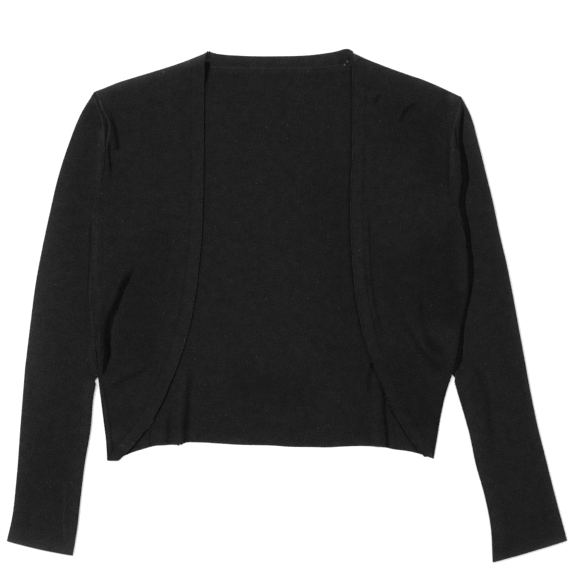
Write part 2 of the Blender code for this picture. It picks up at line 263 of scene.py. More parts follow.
RIGHT = Side(
    sign=-1.0,
    shoulder=((-88, 273.2), (-103, 267.2), (-116, 262.3), (-142, 253.9), (-168, 246),
              (-184, 240.9), (-194, 236.9), (-208, 231.4)),
    armhole=((-208, 231.4), (-201.6, 216), (-197, 199.8), (-197.1, 168.5), (-200.3, 138.2),
             (-205.7, 120), (-208, 87.5), (-209, 47.5), (-212.2, 17.3), (-209, -26),
             (-204.7, -75.6)),
    side_seam=((-204.7, -75.6), (-201.4, -101.5), (-198.7, -123), (-196, -144.7), (-194.6, -167)),
    front_edge=((-88.1, 273.2), (-89.4, 262), (-89.9, 248), (-90.3, 222.5), (-90.6, 157.7),
                (-91.5, 109.1), (-93.1, 71.3), (-96.2, 38.9), (-98.7, 17.3), (-102.2, -4.3),
                (-106.6, -25.9), (-112.9, -47.5), (-120.6, -69.1), (-129.1, -89.1),
                (-134.2, -101.5), (-141, -114.5), (-147.9, -127.4), (-156.9, -138.8),
                (-162.3, -145.6), (-168.6, -153.4), (-182.5, -167.2)),
    band_foot=9.5,
    sleeve_outer_cap=((-211.5, 226.5), (-221.9, 209.5), (-236, 175), (-247.2, 140.4),
                      (-257.3, 97.2), (-264.7, 62.6), (-271.2, 28.1), (-278.1, -23.8),
                      (-283.3, -67)),
    sleeve_outer=((-283.3, -67), (-288.1, -127.4), (-292.7, -187.9), (-297.8, -231.1),
                  (-303.1, -253.8)),
    sleeve_inner=((-204.7, -75.6), (-208.4, -92.9), (-212.8, -136.1), (-218.7, -170.6),
                  (-223, -205.2), (-226.8, -239.8), (-231.7, -269.6)),
    band_lip=1.2,
    band_seam=0.84,
    band_tone=1.1,
    shoulder_rim=2.2,
    sleeve_rim=1.0,
    cuff_bow=1.1,
    cuff_glow=0.68,
    cuff_reach=15.0,
    front_creases=(
        Crease(((-161, 45.4), (-164.3, 37.8), (-167.7, 29.2), (-171.1, 21.6), (-174, 15.1),
                (-176.2, 8.6), (-178.4, 2.2), (-180.6, -4.3), (-183.4, -10.8), (-185.4, -17.3),
                (-187.2, -23.8), (-187.9, -30.2), (-187.9, -36.7), (-187.8, -43.2),
                (-187.9, -49.7), (-189.3, -56.2), (-191.2, -62.6), (-193.6, -71.3)),
               4.8, 30.0, 1.8, 30.0, 10.0, lean=-1.6, taper=0.5),
        Crease(((-164.9, 50.8), (-167.6, 42.1), (-170.7, 34.6), (-174.4, 27), (-178.1, 20.5),
                (-180.2, 15.1), (-182.2, 8.6), (-185.2, 2.2), (-188, -4.3), (-191, -10.8),
                (-193.4, -17.3), (-194.9, -23.8), (-195.4, -30.2), (-195.1, -36.7),
                (-194.7, -43.2), (-194.4, -49.7), (-195, -56.2), (-196.6, -62.6), (-198, -70),
                (-199.4, -77)), -0.6, 8.2, 6.4, 26.0, 6.0, light=0.34, taper=0.6, end_taper=0.3),
        Crease(((-192.2, -20), (-193, -36.7), (-192.8, -49.7), (-194.3, -60.5)),
               -0.2, 3.2, 3.2, 12.0, 8.0, light=0.72),
        Crease(((-177, 51), (-189, 33), (-196.5, 20), (-201, 6.5), (-203.6, -6.5), (-204, -17.3),
                (-204, -30)), 2.6, 8.0, 7.0, 40.0, 24.0, light=0.97),
        Crease(((-203.5, -14), (-202.4, -31), (-202, -52), (-201, -72)), 2.9, 2.6, 2.4, 16.0, 10.0),
        Crease(((-199.3, -28), (-199, -45), (-198.6, -66)), 1.6, 1.8, 1.8, 10.0, 10.0, light=0.9),
        Crease(((-203, 227), (-199, 212), (-194.4, 199), (-193, 184), (-193.8, 168), (-197, 140),
                (-201.5, 122), (-204.5, 100), (-205.8, 70), (-206.8, 40), (-209, 18),
                (-206.5, -10)), 1.5, 9.0, 3.4, 8.0, 30.0),
        Crease(((-203.6, 223.5), (-199, 212), (-194, 202), (-191.7, 194), (-193, 184),
                (-194.9, 175), (-195.6, 166)), 0.7, 1.5, 1.5, 4.0, 14.0, light=1.75),
        Crease(((-196.4, 204), (-194.9, 197), (-195, 188), (-196.4, 178), (-196.4, 166)),
               -1.0, 1.3, 1.3, 4.0, 8.0, light=0.45),
        Crease(((-192.1, 214.9), (-190.2, 208.4), (-188.5, 200.9), (-186.3, 192.2), (-185, 185.8),
                (-183.9, 179.3), (-183.3, 171.7), (-183.3, 166.3)),
               -1.9, 3.2, 4.6, 20.0, 5.0, light=0.38, taper=0.45),
        Crease(((-191.3, 179.3), (-192.2, 172.8), (-192.5, 166.3), (-191.9, 159.8),
                (-191.1, 153.4), (-190.6, 146.9), (-191.1, 136.1)),
               -1.5, 2.3, 2.3, 7.0, 14.0, light=0.36),
        Crease(((-205.8, 96), (-206, 60), (-207.5, 28)), 0.3, 1.4, 1.4, 24.0, 24.0, light=1.25),
        Crease(((-190.2, -90.5), (-182.7, -83.5), (-170.1, -77.2), (-159.3, -71.8), (-146, -62),
                (-136, -54)), -1.6, 5.2, 4.2, 4.0, 44.0, Form.PINCHED, light=0.66),
        Crease(((-186, -76), (-172, -69), (-158, -60), (-146, -48)),
               1.0, 5.5, 5.0, 12.0, 20.0, light=1.08),
        Crease(((-134, -38), (-150, -55), (-160, -62)), -0.9, 5.0, 5.0, 12.0, 8.0, light=0.95),
        RIGHT_TIP,
        Crease(((-198.2, 30.2), (-178.7, 45.4), (-153.9, 56.2)),
               0.0, 9.0, 9.0, 12.0, 16.0, light=0.92),
        Crease(((-150, 222), (-105, 205)), 0.0, 26.0, 26.0, 14.0, 14.0, light=1.04),
        Crease(((-186, 158), (-175, 104)), 0.0, 18.0, 18.0, 18.0, 18.0, light=0.95),
        Crease(((-207, -33), (-207.4, -50)), 0.0, 3.4, 3.4, 6.0, 6.0, light=1.5),
        Crease(((-188, -142), (-172, -152)), 0.0, 15.0, 12.0, 0.0, 0.0, light=1.32),
        Crease(((-105, 266), (-91, 270)), 0.0, 11.0, 11.0, 0.0, 0.0, light=1.4),
        Crease(((-126, -70), (-140, -97), (-152, -118)), -0.7, 3.5, 3.5, 16.0, 16.0, light=0.9),
        Crease(((-200.4, -78), (-194.8, -104.8), (-191.2, -130.7), (-187.8, -160)),
               -0.4, 1.5, 1.5, 20.0, 4.0, light=0.76),
        Crease(((-203, -80), (-197.8, -104.8), (-194.4, -130.7), (-191.4, -160)),
               0.5, 2.2, 3.0, 6.0, 4.0, light=1.45),
        Crease(((-158, 79.5), (-130, 80.5), (-106, 78)), -0.4, 1.6, 1.6, 14.0, 14.0, light=0.88),
        Crease(((-129.1, 99.4), (-139.9, 71.3), (-148.5, 17.3), (-157.1, -42.1), (-163.6, -96.1)),
               -0.5, 36.0, 32.0, 40.0, 50.0, light=0.84),
        Crease(((-157.1, 47.5), (-163.6, 23.8), (-169, 6.5), (-174.4, -13), (-178.2, -31.3),
                (-178.7, -49.7), (-182, -67)), 0.0, 12.0, 12.0, 12.0, 12.0, light=0.93),
        Crease(((-204.7, 230), (-148.5, 246.2), (-98.8, 263.5)),
               0.0, 30.0, 30.0, 6.0, 8.0, light=1.24),
        Crease(((-204.7, 230), (-202.5, 224.6)), 0.0, 13.0, 13.0, 0.0, 0.0, light=1.3),
        Crease(((-194.5, 222.5), (-194.1, 218.2), (-193.4, 212.8)),
               0.2, 1.3, 1.3, 3.0, 3.0, light=1.4),
        Crease(((-203, 99.4), (-203.6, 71.3), (-205.1, 49.7), (-206.8, 34.6), (-205.7, 17.3),
                (-203.1, 4.3), (-205.3, -8.6)), 0.3, 4.8, 4.8, 12.0, 8.0, light=1.18),
        Crease(((-206.5, -47.5), (-206.5, -56.2), (-206.4, -76.7)),
               -0.5, 1.5, 1.5, 8.0, 0.0, light=0.4),
        Crease(((-201.9, -46.4), (-202.3, -56.2), (-202.3, -71.3)),
               -0.3, 1.4, 1.4, 5.0, 3.0, light=0.75),
        Crease(((-199.9, -49.7), (-199.9, -69.1)), 0.3, 1.5, 1.5, 4.0, 4.0, light=1.25),
        RIGHT_SEAM,
    ),
    sleeve_creases=(
        Crease(((-239.2, -185.8), (-240.3, -220.3), (-240.3, -254.9)),
               0.9, 3.2, 3.2, 14.0, 3.0, light=1.28),
        Crease(((-209.4, 227), (-205.4, 216), (-200.6, 203), (-198.4, 190), (-198.2, 178),
                (-199, 162)), 0.6, 1.5, 1.8, 4.0, 16.0, light=1.7),
        Crease(((-202.2, 196), (-202.5, 170), (-203.3, 146), (-204.8, 124)),
               0.5, 5.2, 5.2, 12.0, 16.0, light=1.36),
        Crease(((-209.6, 230.5), (-215.5, 220.5), (-221.9, 209.5), (-230, 190)),
               0.0, 2.6, 2.6, 0.0, 14.0, light=1.5),
        RIGHT_TIP,
        Crease(((-217, 8), (-216.5, -10), (-215.5, -28)), 0.0, 5.0, 5.0, 8.0, 8.0, light=0.88),
        Crease(((-212, 229), (-210.5, 224), (-209.5, 215)), 0.0, 7.0, 8.0, 0.0, 6.0, light=1.52),
        Crease(((-292, -228), (-228, -242)), 0.0, 36.0, 32.0, 0.0, 0.0, light=1.13),
        Crease(((-212.4, 96), (-213.4, 60), (-214.8, 30), (-215.5, 8)),
               -0.6, 1.5, 1.5, 14.0, 14.0, light=0.7),
        Crease(((-209.5, -33), (-208.5, -50)), 0.0, 3.4, 3.4, 6.0, 6.0, light=1.4),
        Crease(((-213, -38), (-211.8, -54), (-209.5, -72)), 0.5, 3.6, 3.6, 10.0, 4.0, light=1.26),
        RIGHT_SEAM,
        Crease(((-199.8, 192.2), (-200.8, 185.8), (-201.4, 177.1)),
               0.3, 3.6, 3.6, 3.0, 5.0, light=1.3),
        Crease(((-298, -257), (-280, -260), (-258, -265)), 0.2, 14.0, 14.0, 0.0, 12.0, light=1.5),
        Crease(((-249, -270), (-236, -264)), 0.0, 13.0, 13.0, 0.0, 0.0, light=1.3),
    ),
    head=(
        HeadRow(0.0, 0.0, 0.0, 0.0, 3.4, 3.6, 4.0, 0.0),
        HeadRow(0.10, 0.0, 0.0, 0.0, 4.3, 4.1, 5.0, 0.0),
        HeadRow(0.3, 0.0, 0.0, 0.0, 4.3, 4.0, 6.0, 0.0),
        HeadRow(0.6, 0.0, 0.0, 0.0, 4.2, 4.0, 8.0, 0.0),
        HeadRow(0.8, 0.0, 0.0, 0.0, 4.4, 4.4, 8.0, 0.0),
        HeadRow(1.0, 0.0, 0.0, 0.0, 4.0, 4.4, 5.0, 0.0),
    ),
    tube=(
        TubeRow(0.0, 4.0, 6.0, 4.0, 0.5, 6.0),
        TubeRow(0.12, 5.2, 12.0, 5.0, 0.5, 12.0),
        TubeRow(0.3, 5.4, 18.0, 5.0, 0.6, 15.0),
        TubeRow(0.42, 5.6, 22.0, 5.0, 0.72, 20.0),
        TubeRow(0.62, 5.6, 22.0, 6.0, 0.72, 22.0),
        TubeRow(0.74, 5.4, 18.0, 6.0, 0.5, 14.0),
        TubeRow(0.92, 5.0, 14.0, 6.0, 0.34, 10.0),
        TubeRow(1.0, 4.6, 8.0, 5.0, 0.3, 8.0),
    ),
)

LEFT = Side(
    sign=1.0,
    shoulder=((69.7, 273.8), (84.2, 267), (104.2, 259.1), (130.1, 249.8), (148, 243.6),
              (156.1, 240.3), (186.5, 226.2)),
    armhole=((186.5, 226.2), (182.6, 209.5), (177.7, 196.6), (174.4, 179.3), (173.9, 157.7),
             (174.4, 130.7), (177.6, 113.5), (184.1, 98.3), (190.6, 79.9), (194.4, 60.5),
             (195.5, 38.9), (194.9, 17.3), (191.7, -2.2), (187.4, -20.5), (184.1, -44.3),
             (177.7, -73.4)),
    side_seam=((177.7, -73.4), (170.5, -96.1), (165.7, -117.7), (161.2, -144.7), (157.7, -165)),
    front_edge=((69.7, 273.8), (70.4, 222.5), (70.4, 195.5), (69.6, 157.7), (68.1, 114.5),
                (68.8, 71.3), (70, 49.7), (72, 28.1), (74.2, 6.5), (76.5, -4.3), (78.6, -15.1),
                (80.8, -25.9), (83.6, -36.7), (87.2, -47.5), (90.8, -58.3), (96.2, -71.3),
                (100.8, -82.1), (104, -90.7), (107.1, -99.4), (110.9, -108), (115.8, -116.6),
                (121.3, -125.3), (126.5, -133.9), (132.3, -143.1), (138.6, -151.7),
                (147.4, -162.8)),
    band_foot=8.5,
    sleeve_outer_cap=((189.9, 221.4), (196, 209.7), (206.3, 175), (214.9, 140.4), (221.3, 114.5),
                      (228.5, 79.9), (236.6, 45.4), (243.5, 10.8), (249.8, -23.8), (255.5, -55)),
    sleeve_outer=((255.5, -55), (262.4, -92.9), (269.5, -127.4), (278.1, -162), (286.8, -196.6),
                  (295.9, -231.1), (301.9, -253.2)),
    sleeve_inner=((177.7, -73.4), (183.2, -92.9), (190.9, -118.8), (195.7, -136.1), (203, -170.6),
                  (212.7, -205.2), (219.3, -239.8), (221.3, -276.9)),
    band_lip=0.62,
    band_seam=0.94,
    band_tone=1.07,
    shoulder_rim=1.4,
    sleeve_rim=0.55,
    cuff_bow=0.6,
    cuff_glow=0.3,
    cuff_reach=9.0,
    front_creases=(
        Crease(((192.3, 71.3), (193.9, 60.5), (194.7, 49.7), (195.4, 36.7), (195.2, 23.8)),
               -0.2, 2.4, 2.4, 6.0, 6.0, light=0.35),
        Crease(((186.5, 104), (191.5, 87), (192.5, 64), (192.3, 40), (191.7, 15), (188.6, -3),
                (184.5, -20), (181.2, -45), (177, -62), (173.5, -72)), 3.0, 3.2, 12.0, 24.0, 8.0),
        Crease(((171.5, 205), (171.2, 179), (170.8, 157), (171.3, 131), (174.4, 114)),
               1.2, 2.6, 5.0, 14.0, 14.0),
        Crease(((175.5, 231.1), (178.2, 218.2), (178.7, 203), (178.2, 187.9), (177.1, 168.5)),
               0.2, 7.5, 7.5, 6.0, 22.0, light=1.38),
        Crease(((160, 222), (152, 196), (155, 168), (160, 140), (164, 112)),
               -1.2, 22.0, 26.0, 26.0, 26.0, light=0.79),
        Crease(((123.7, 6), (128, -7), (134, -20), (143.1, -38), (156, -54)),
               2.6, 4.2, 3.6, 14.0, 12.0, light=1.08),
        Crease(((143.6, 23.8), (143.8, 6.5), (144.6, -9.7), (146.2, -22), (149.4, -33), (155, -41),
                (161.5, -48), (168.5, -55), (173.3, -59.4)),
               -1.1, 5.8, 5.4, 24.0, 16.0, light=0.76),
        Crease(((147, -34), (153, -42), (160, -48)), 0.0, 7.0, 5.5, 8.0, 8.0, light=0.88),
        Crease(((126.9, -14), (131.2, -23.8), (135.4, -32.4), (139.8, -40.5), (144.2, -47.5),
                (150.5, -55.5), (157.6, -61), (165.8, -66), (173.3, -69.1)),
               -1.2, 5.2, 5.6, 36.0, 12.0, light=0.74),
        Crease(((155, -6.5), (160.4, -21.6), (166.9, -34.6), (174.4, -46.4), (180.9, -55.1)),
               0.6, 5.0, 5.0, 14.0, 10.0, light=1.14),
        Crease(((166, 92), (156, 56), (158, 24), (168, -4), (178, -28)),
               -1.2, 36.0, 36.0, 36.0, 22.0, light=0.765),
        Crease(((115, 78), (119, 20), (134, -38)), -0.3, 44.0, 40.0, 34.0, 26.0, light=0.83),
        Crease(((171.2, 101.5), (174.4, 84.2), (175.5, 60.5), (178.7, 22.7), (182, -6.5),
                (177.7, -31.3)), 0.0, 16.0, 15.0, 12.0, 22.0, light=0.79),
        Crease(((150, -26), (168, -60), (158, -80)), -0.2, 16.0, 18.0, 16.0, 12.0, light=0.85),
        Crease(((151, -46), (160, -76)), 0.0, 11.0, 11.0, 6.0, 6.0, light=0.87),
        Crease(((94, -12), (98, -48)), 0.0, 7.0, 7.0, 8.0, 8.0, light=0.82),
        Crease(((82.6, 52), (85, 20), (91, -22)), 0.0, 5.0, 5.0, 12.0, 14.0, light=0.9),
        Crease(((129, 2), (133, -10), (139, -23), (148, -42)), 0.2, 4.0, 4.0, 8.0, 8.0, light=1.14),
        Crease(((119.6, 195.5), (122.9, 204.1), (125.4, 209.1), (129.5, 213.4), (134.5, 217.1),
                (143.1, 220.9)), -1.5, 2.6, 5.4, 6.0, 10.0, light=0.54),
        Crease(((103.1, 230), (98.5, 226.2), (95, 221), (92.9, 214.9)),
               -0.9, 3.2, 3.0, 6.0, 8.0, light=0.64),
        Crease(((112.9, 231.1), (117.2, 190.1), (121.5, 152.3)),
               -0.4, 38.0, 30.0, 20.0, 30.0, light=0.86),
        Crease(((104.2, -25.9), (119.3, -71.3), (136.6, -105.8), (151.7, -144.7)),
               -0.5, 44.0, 34.0, 40.0, 26.0, light=0.75),
        Crease(((80.5, 267.8), (121.5, 250.6), (171.2, 230)),
               0.0, 26.0, 26.0, 8.0, 10.0, light=1.16),
        Crease(((86, 120), (88, 90), (89.6, 55.1), (91.8, 17.3), (95.6, -4.3), (101, -24),
                (104, -44)), -1.0, 2.6, 2.4, 46.0, 30.0, light=0.7),
        Crease(((71, 271), (77, 266)), 0.0, 8.0, 8.0, 0.0, 3.0, light=1.42),
        LEFT_TIP,
        Crease(((185, 224), (176, 226)), 0.0, 9.0, 9.0, 0.0, 0.0, light=1.28),
    ),
    sleeve_creases=(
        Crease(((180.9, 198.7), (181.1, 192.2), (181.3, 185.8), (182.4, 179.3), (183.7, 171.7),
                (184.1, 165.2)), -1.0, 1.5, 1.5, 9.0, 8.0, light=0.55),
        Crease(((186, 214), (181, 200), (178.5, 184), (177.5, 168), (178, 150), (178.5, 134)),
               0.4, 3.4, 5.0, 6.0, 20.0, light=1.48),
        Crease(((183, 227), (186.5, 217), (188, 207)), 0.0, 6.0, 5.0, 0.0, 6.0, light=1.3),
        LEFT_TIP,
        Crease(((201.4, -60.5), (206.3, -73.4), (208.4, -81), (211.7, -89.6), (215.5, -100.4),
                (217, -113.4), (217.6, -127.4), (219.8, -142.6), (223, -162), (225.2, -177.1)),
               -1.0, 5.8, 6.2, 14.0, 74.0, light=0.79),
        Crease(((180, -78), (186, -100), (195, -134)), 0.0, 15.0, 15.0, 0.0, 30.0, light=0.86),
        Crease(((203.6, -99.4), (200.3, -86.4), (200.9, -71.3)),
               -0.5, 4.0, 4.0, 8.0, 10.0, light=0.86),
        Crease(((216.5, -69.1), (217.2, -79.9), (218.7, -89.6)),
               0.5, 2.6, 2.6, 6.0, 6.0, light=1.15),
        Crease(((290, -254), (268, -262)), 0.2, 13.0, 13.0, 0.0, 12.0, light=1.3),
    ),
    head=(
        HeadRow(0.0, 0.0, 0.0, 0.0, 3.4, 3.6, 1.4, 0.0),
        HeadRow(0.018, 3.4, 0.6, 0.0, 3.4, 3.8, 1.4, 0.0),
        HeadRow(0.03, 5.2, 1.4, 1.6, 2.8, 5.0, 1.4, 0.32),
        HeadRow(0.042, 6.8, 1.8, 2.4, 2.6, 5.6, 1.4, 0.42),
        HeadRow(0.06, 9.0, 2.2, 3.2, 2.6, 6.0, 1.4, 0.5),
        HeadRow(0.085, 11.6, 2.6, 3.8, 2.5, 6.4, 1.4, 0.5),
        HeadRow(0.12, 15.3, 2.9, 4.2, 2.4, 6.6, 1.4, 0.5),
        HeadRow(0.168, 17.9, 3.2, 4.6, 2.4, 6.8, 1.4, 0.5),
        HeadRow(0.2, 18.0, 3.3, 6.0, 2.4, 7.0, 1.4, 0.5),
        HeadRow(0.235, 17.8, 3.4, 7.5, 2.4, 7.0, 1.4, 0.5),
        HeadRow(0.275, 17.2, 3.4, 8.2, 2.4, 7.0, 1.4, 0.5),
        HeadRow(0.31, 14.2, 3.3, 8.0, 2.4, 7.0, 1.4, 0.5),
        HeadRow(0.345, 10.6, 2.9, 8.0, 2.4, 7.0, 1.4, 0.5),
        HeadRow(0.39, 5.8, 2.5, 7.4, 2.4, 7.0, 1.4, 0.5),
        HeadRow(0.43, 2.6, 1.9, 6.8, 2.4, 7.0, 1.4, 0.5),
        HeadRow(0.465, 1.8, 1.2, 6.2, 2.4, 7.0, 1.4, 0.5),
        HeadRow(0.542, 0.0, 0.0, 5.0, 2.3, 7.0, 1.4, 0.5),
        HeadRow(0.64, 0.0, 0.0, 6.2, 2.3, 7.0, 1.4, 0.5),
        HeadRow(0.705, 0.0, 0.0, 4.8, 2.3, 7.0, 1.4, 0.5),
        HeadRow(0.766, 0.0, 0.0, 4.0, 2.3, 6.8, 1.4, 0.5),
        HeadRow(0.85, 0.0, 0.0, 4.8, 2.3, 6.8, 1.4, 0.5),
        HeadRow(0.902, 0.0, 0.0, 5.8, 2.3, 6.8, 1.4, 0.5),
        HeadRow(0.953, 0.0, 0.0, 8.0, 2.3, 6.6, 1.6, 0.5),
        HeadRow(0.98, 0.0, 0.0, 6.6, 2.3, 6.0, 1.8, 0.4),
        HeadRow(1.0, 0.0, 0.0, 3.0, 2.3, 5.4, 2.0, 0.35),
    ),
    tube=(
        TubeRow(0.0, 4.0, 4.0, 4.0, 0.9, 9.0),
        TubeRow(0.08, 6.2, 7.0, 5.0, 0.9, 9.0),
        TubeRow(0.16, 6.6, 8.0, 5.0, 0.55, 7.0),
        TubeRow(0.4, 7.0, 10.0, 5.0, 0.5, 6.0),
        TubeRow(0.7, 6.6, 12.0, 7.0, 0.45, 7.0),
        TubeRow(0.92, 5.6, 9.0, 7.0, 0.45, 7.0),
        TubeRow(1.0, 4.8, 7.0, 5.0, 0.45, 7.0),
    ),
)


def smooth_line(spots: tuple[Spot, ...] | Array, steps: int) -> Array:
    """Runs a smooth curve through spots.

    Args:
        spots: the places that the curve goes through, in order.
        steps: how many equal steps the result is divided into.

    Returns:
        The curve's points, as rows of x and y.
    """
    knots = np.array(spots, float)
    chords = np.linalg.norm(np.diff(knots, axis=0), axis=1)
    stations = np.concatenate([[0.0], np.cumsum(chords)])
    slopes = np.gradient(knots, stations, axis=0)
    along = np.linspace(0.0, stations[-1], CURVE_SAMPLES)
    span = np.clip(np.searchsorted(stations, along, side="right") - 1, 0, len(chords) - 1)
    length = chords[span][:, None]
    t = (along - stations[span])[:, None] / length
    fine = (
        (2 * t**3 - 3 * t**2 + 1) * knots[span]
        + (t**3 - 2 * t**2 + t) * length * slopes[span]
        + (3 * t**2 - 2 * t**3) * knots[span + 1]
        + (t**3 - t**2) * length * slopes[span + 1]
    )
    return evenly(fine, np.linspace(0.0, 1.0, steps + 1))


def lengths_along(line: Array) -> Array:
    """The distance walked along a line to each of its points."""
    return np.concatenate([[0.0], np.cumsum(np.linalg.norm(np.diff(line, axis=0), axis=1))])


def evenly(line: Array, shares: Array) -> Array:
    """Finds the points of a line at shares of its length.

    Args:
        line: the line's points, as rows of x and y.
        shares: the shares, from 0 to 1.

    Returns:
        The points, as rows of x and y.
    """
    walked = lengths_along(line)
    wanted = np.asarray(shares) * walked[-1]
    return np.stack([np.interp(wanted, walked, line[:, axis]) for axis in range(2)], axis=-1)


def chain(*lines: Array) -> Array:
    """Lines that meet end to end, as one."""
    return np.concatenate([lines[0]] + [line[1:] for line in lines[1:]])


def moved_out(line: Array, distance: float, sign: float) -> Array:
    """Moves a line that runs down the garment sideways, away from the garment's middle.

    Args:
        line: the line's points, as rows of x and y.
        distance: how far it is moved.
        sign: 1 on the garment's left, where x is positive, and -1 on its right.

    Returns:
        The moved line's points.
    """
    along = np.gradient(line, axis=0)
    along /= np.linalg.norm(along, axis=1)[:, None]
    outward = np.stack([-along[:, 1], along[:, 0]], axis=1)
    outward *= np.sign(outward[:, :1] * sign)
    return line + outward * distance


def ease(t: Array | float) -> Array:
    """0 below 0, 1 above 1, and a smooth step between."""
    t = np.clip(t, 0.0, 1.0)
    return t * t * (3 - 2 * t)


def rounded(t: Array) -> Array:
    """0 at 0 and 1 at 1, rising as a quarter of a circle does."""
    return 1 - np.sqrt(np.maximum(1 - t * t, 0.0))


def bell(distance: Array, width: float) -> Array:
    """1 at no distance, falling off softly over a width."""
    return np.exp(-((distance / width) ** 2))


def turned_up(from_edge: Array, width: float, groove: float) -> Array:
    """How far a turned hem or cuff and the groove along it stand above plain cloth."""
    strip = 1 - ease((from_edge - width) / HEM_STEP + 0.5)
    return HEM_RISE * strip - GROOVE_DEPTH * bell(from_edge - width, groove)


def unevenness(points: Array) -> Array:
    """Works out the soft, low unevenness of laid cloth.

    Args:
        points: rows of x and y.

    Returns:
        The unevenness at each point, from about -1 to 1.
    """
    height = np.zeros(len(points))
    for length, turn, phase in WAVES:
        angle = math.radians(turn)
        along = points[:, 0] * math.cos(angle) + points[:, 1] * math.sin(angle)
        aside = points[:, 1] * math.cos(angle) - points[:, 0] * math.sin(angle)
        bend = WAVE_BEND * np.sin(aside / (WAVE_WANDER * length) + 2 * phase)
        height += length / LONGEST_WAVE * np.sin(2 * math.pi * along / length + phase + bend)
    return height / WAVES_HEIGHT


def nearest(points: Array, line: Array) -> tuple[Array, Array, Array]:
    """Finds where each point is beside a line.

    Args:
        points: rows of x and y.
        line: the line's points, as rows of x and y.

    Returns:
        The distance from the line, positive on its left, the distance along it, and the unit vector
        to its left there.
    """
    starts = line[:-1]
    runs = np.diff(line, axis=0)
    sizes = np.linalg.norm(runs, axis=1)
    units = runs / sizes[:, None]
    walked = lengths_along(line)
    best = np.full(len(points), np.inf)
    away = np.zeros(len(points))
    along = np.zeros(len(points))
    left = np.zeros((len(points), 2))
    for start, unit, size, before in zip(starts, units, sizes, walked):
        offset = points - start
        on = np.clip(offset @ unit, 0.0, size)
        gap = offset - on[:, None] * unit
        distance = np.hypot(gap[:, 0], gap[:, 1])
        closer = distance < best
        best[closer] = distance[closer]
        side = np.where(offset[:, 1] * unit[0] - offset[:, 0] * unit[1] >= 0, 1.0, -1.0)
        away[closer] = (distance * side)[closer]
        along[closer] = before + on[closer]
        left[closer] = (-unit[1], unit[0])
    return away, along, left


def beside(points: Array, side: Array) -> Array:
    """How far points are from a panel's side."""
    away, _, _ = nearest(points, evenly(side, np.linspace(0, 1, SIDE_SAMPLES)))
    return np.abs(away)


class Relief:
    """The creases of one piece, ready to be pressed into its points."""

    def __init__(self, creases: tuple[Crease, ...]) -> None:
        """Keeps the creases with their smoothed paths."""
        self.creases = [(crease, self.drawn(crease)) for crease in creases]

    @staticmethod
    def drawn(crease: Crease) -> Array:
        """Draws a crease's path as a smooth line.

        Args:
            crease: the crease.

        Returns:
            The line's points, as rows of x and y.
        """
        if len(crease.path) == 2:
            return np.array(crease.path, float)
        return smooth_line(crease.path, steps=CREASE_STEPS * len(crease.path))

    def press(self, points: Array) -> tuple[Array, Array, Array]:
        """Works out what the creases do to points of the cloth.

        Args:
            points: rows of x and y.

        Returns:
            How far each point is lifted, how far it is moved sideways, and how light it is.
        """
        lift = np.zeros(len(points))
        shift = np.zeros((len(points), 2))
        light = np.ones(len(points))
        for crease, line in self.creases:
            away, along, left = nearest(points, line)
            width = np.where(away > 0, crease.left, crease.right)
            to_end = lengths_along(line)[-1] - along
            width *= crease.taper + (1 - crease.taper) * ease(along / max(crease.fade_in, 1.0))
            if crease.end_taper < 1.0:
                width *= crease.end_taper + (1 - crease.end_taper) * ease(to_end / TAPER_RUN)
            t = np.clip(np.abs(away) / width, 0.0, 1.0)
            if crease.form is Form.PINCHED:
                share = (1 - t) ** 2 * (1 + PINCH_FULLNESS * t)
            else:
                share = (1 - t**2) ** 2
            if crease.fade_in:
                share = share * ease(along / crease.fade_in)
            if crease.fade_out:
                share = share * ease(to_end / crease.fade_out)
            lift += crease.height * share
            shift += left * (crease.lean * share)[:, None]
            light *= 1 + (crease.light - 1) * share
        return lift, shift, light

    def detail(self, points: Array) -> Array:
        """Says how finely the cloth is divided at points.

        Args:
            points: rows of x and y.

        Returns:
            0 on plain cloth, 1 beside a crease and 2 on the crest of a sharp one.
        """
        level = np.zeros(len(points), int)
        for crease, line in self.creases:
            away, _, _ = nearest(points, line[::COARSE_STEP] if len(line) > 2 else line)
            beyond = np.abs(away) - CREASE_MARGIN
            width = np.where(away > 0, crease.left, crease.right)
            level = np.maximum(level, (beyond < width) & (width <= SOFT_CREASE))
            sharp = (beyond < np.minimum(width, SHARP_CREST)) & (width <= SHARP_CREASE)
            level = np.maximum(level, 2 * sharp)
        return level


def add_node(tree: bpy.types.NodeTree, kind: str, inputs: dict[Any, Any] | None = None,
             **settings: Any) -> bpy.types.Node:
    """Adds a node to a material.

    Args:
        tree: the material's node tree.
        kind: the node's type.
        inputs: what goes into each socket, by name or number: another node's socket, or a value.
        **settings: the node's own settings.

    Returns:
        The new node.
    """
    node = tree.nodes.new(kind)
    for name, value in settings.items():
        setattr(node, name, value)
    for name, value in (inputs or {}).items():
        if isinstance(value, bpy.types.NodeSocket):
            tree.links.new(value, node.inputs[name])
        else:
            node.inputs[name].default_value = value
    return node


def from_hex(colour: str) -> tuple[float, float, float, float]:
    """Turns an sRGB colour into the linear one that a shader takes.

    Args:
        colour: the colour, such as "#1f1f1f".

    Returns:
        Linear red, green and blue, and full alpha.
    """
    parts = [int(colour[at:at + 2], 16) / 255 for at in (1, 3, 5)]
    linear = [p / 12.92 if p <= 0.04045 else ((p + 0.055) / 1.055) ** 2.4 for p in parts]
    return linear[0], linear[1], linear[2], 1.0


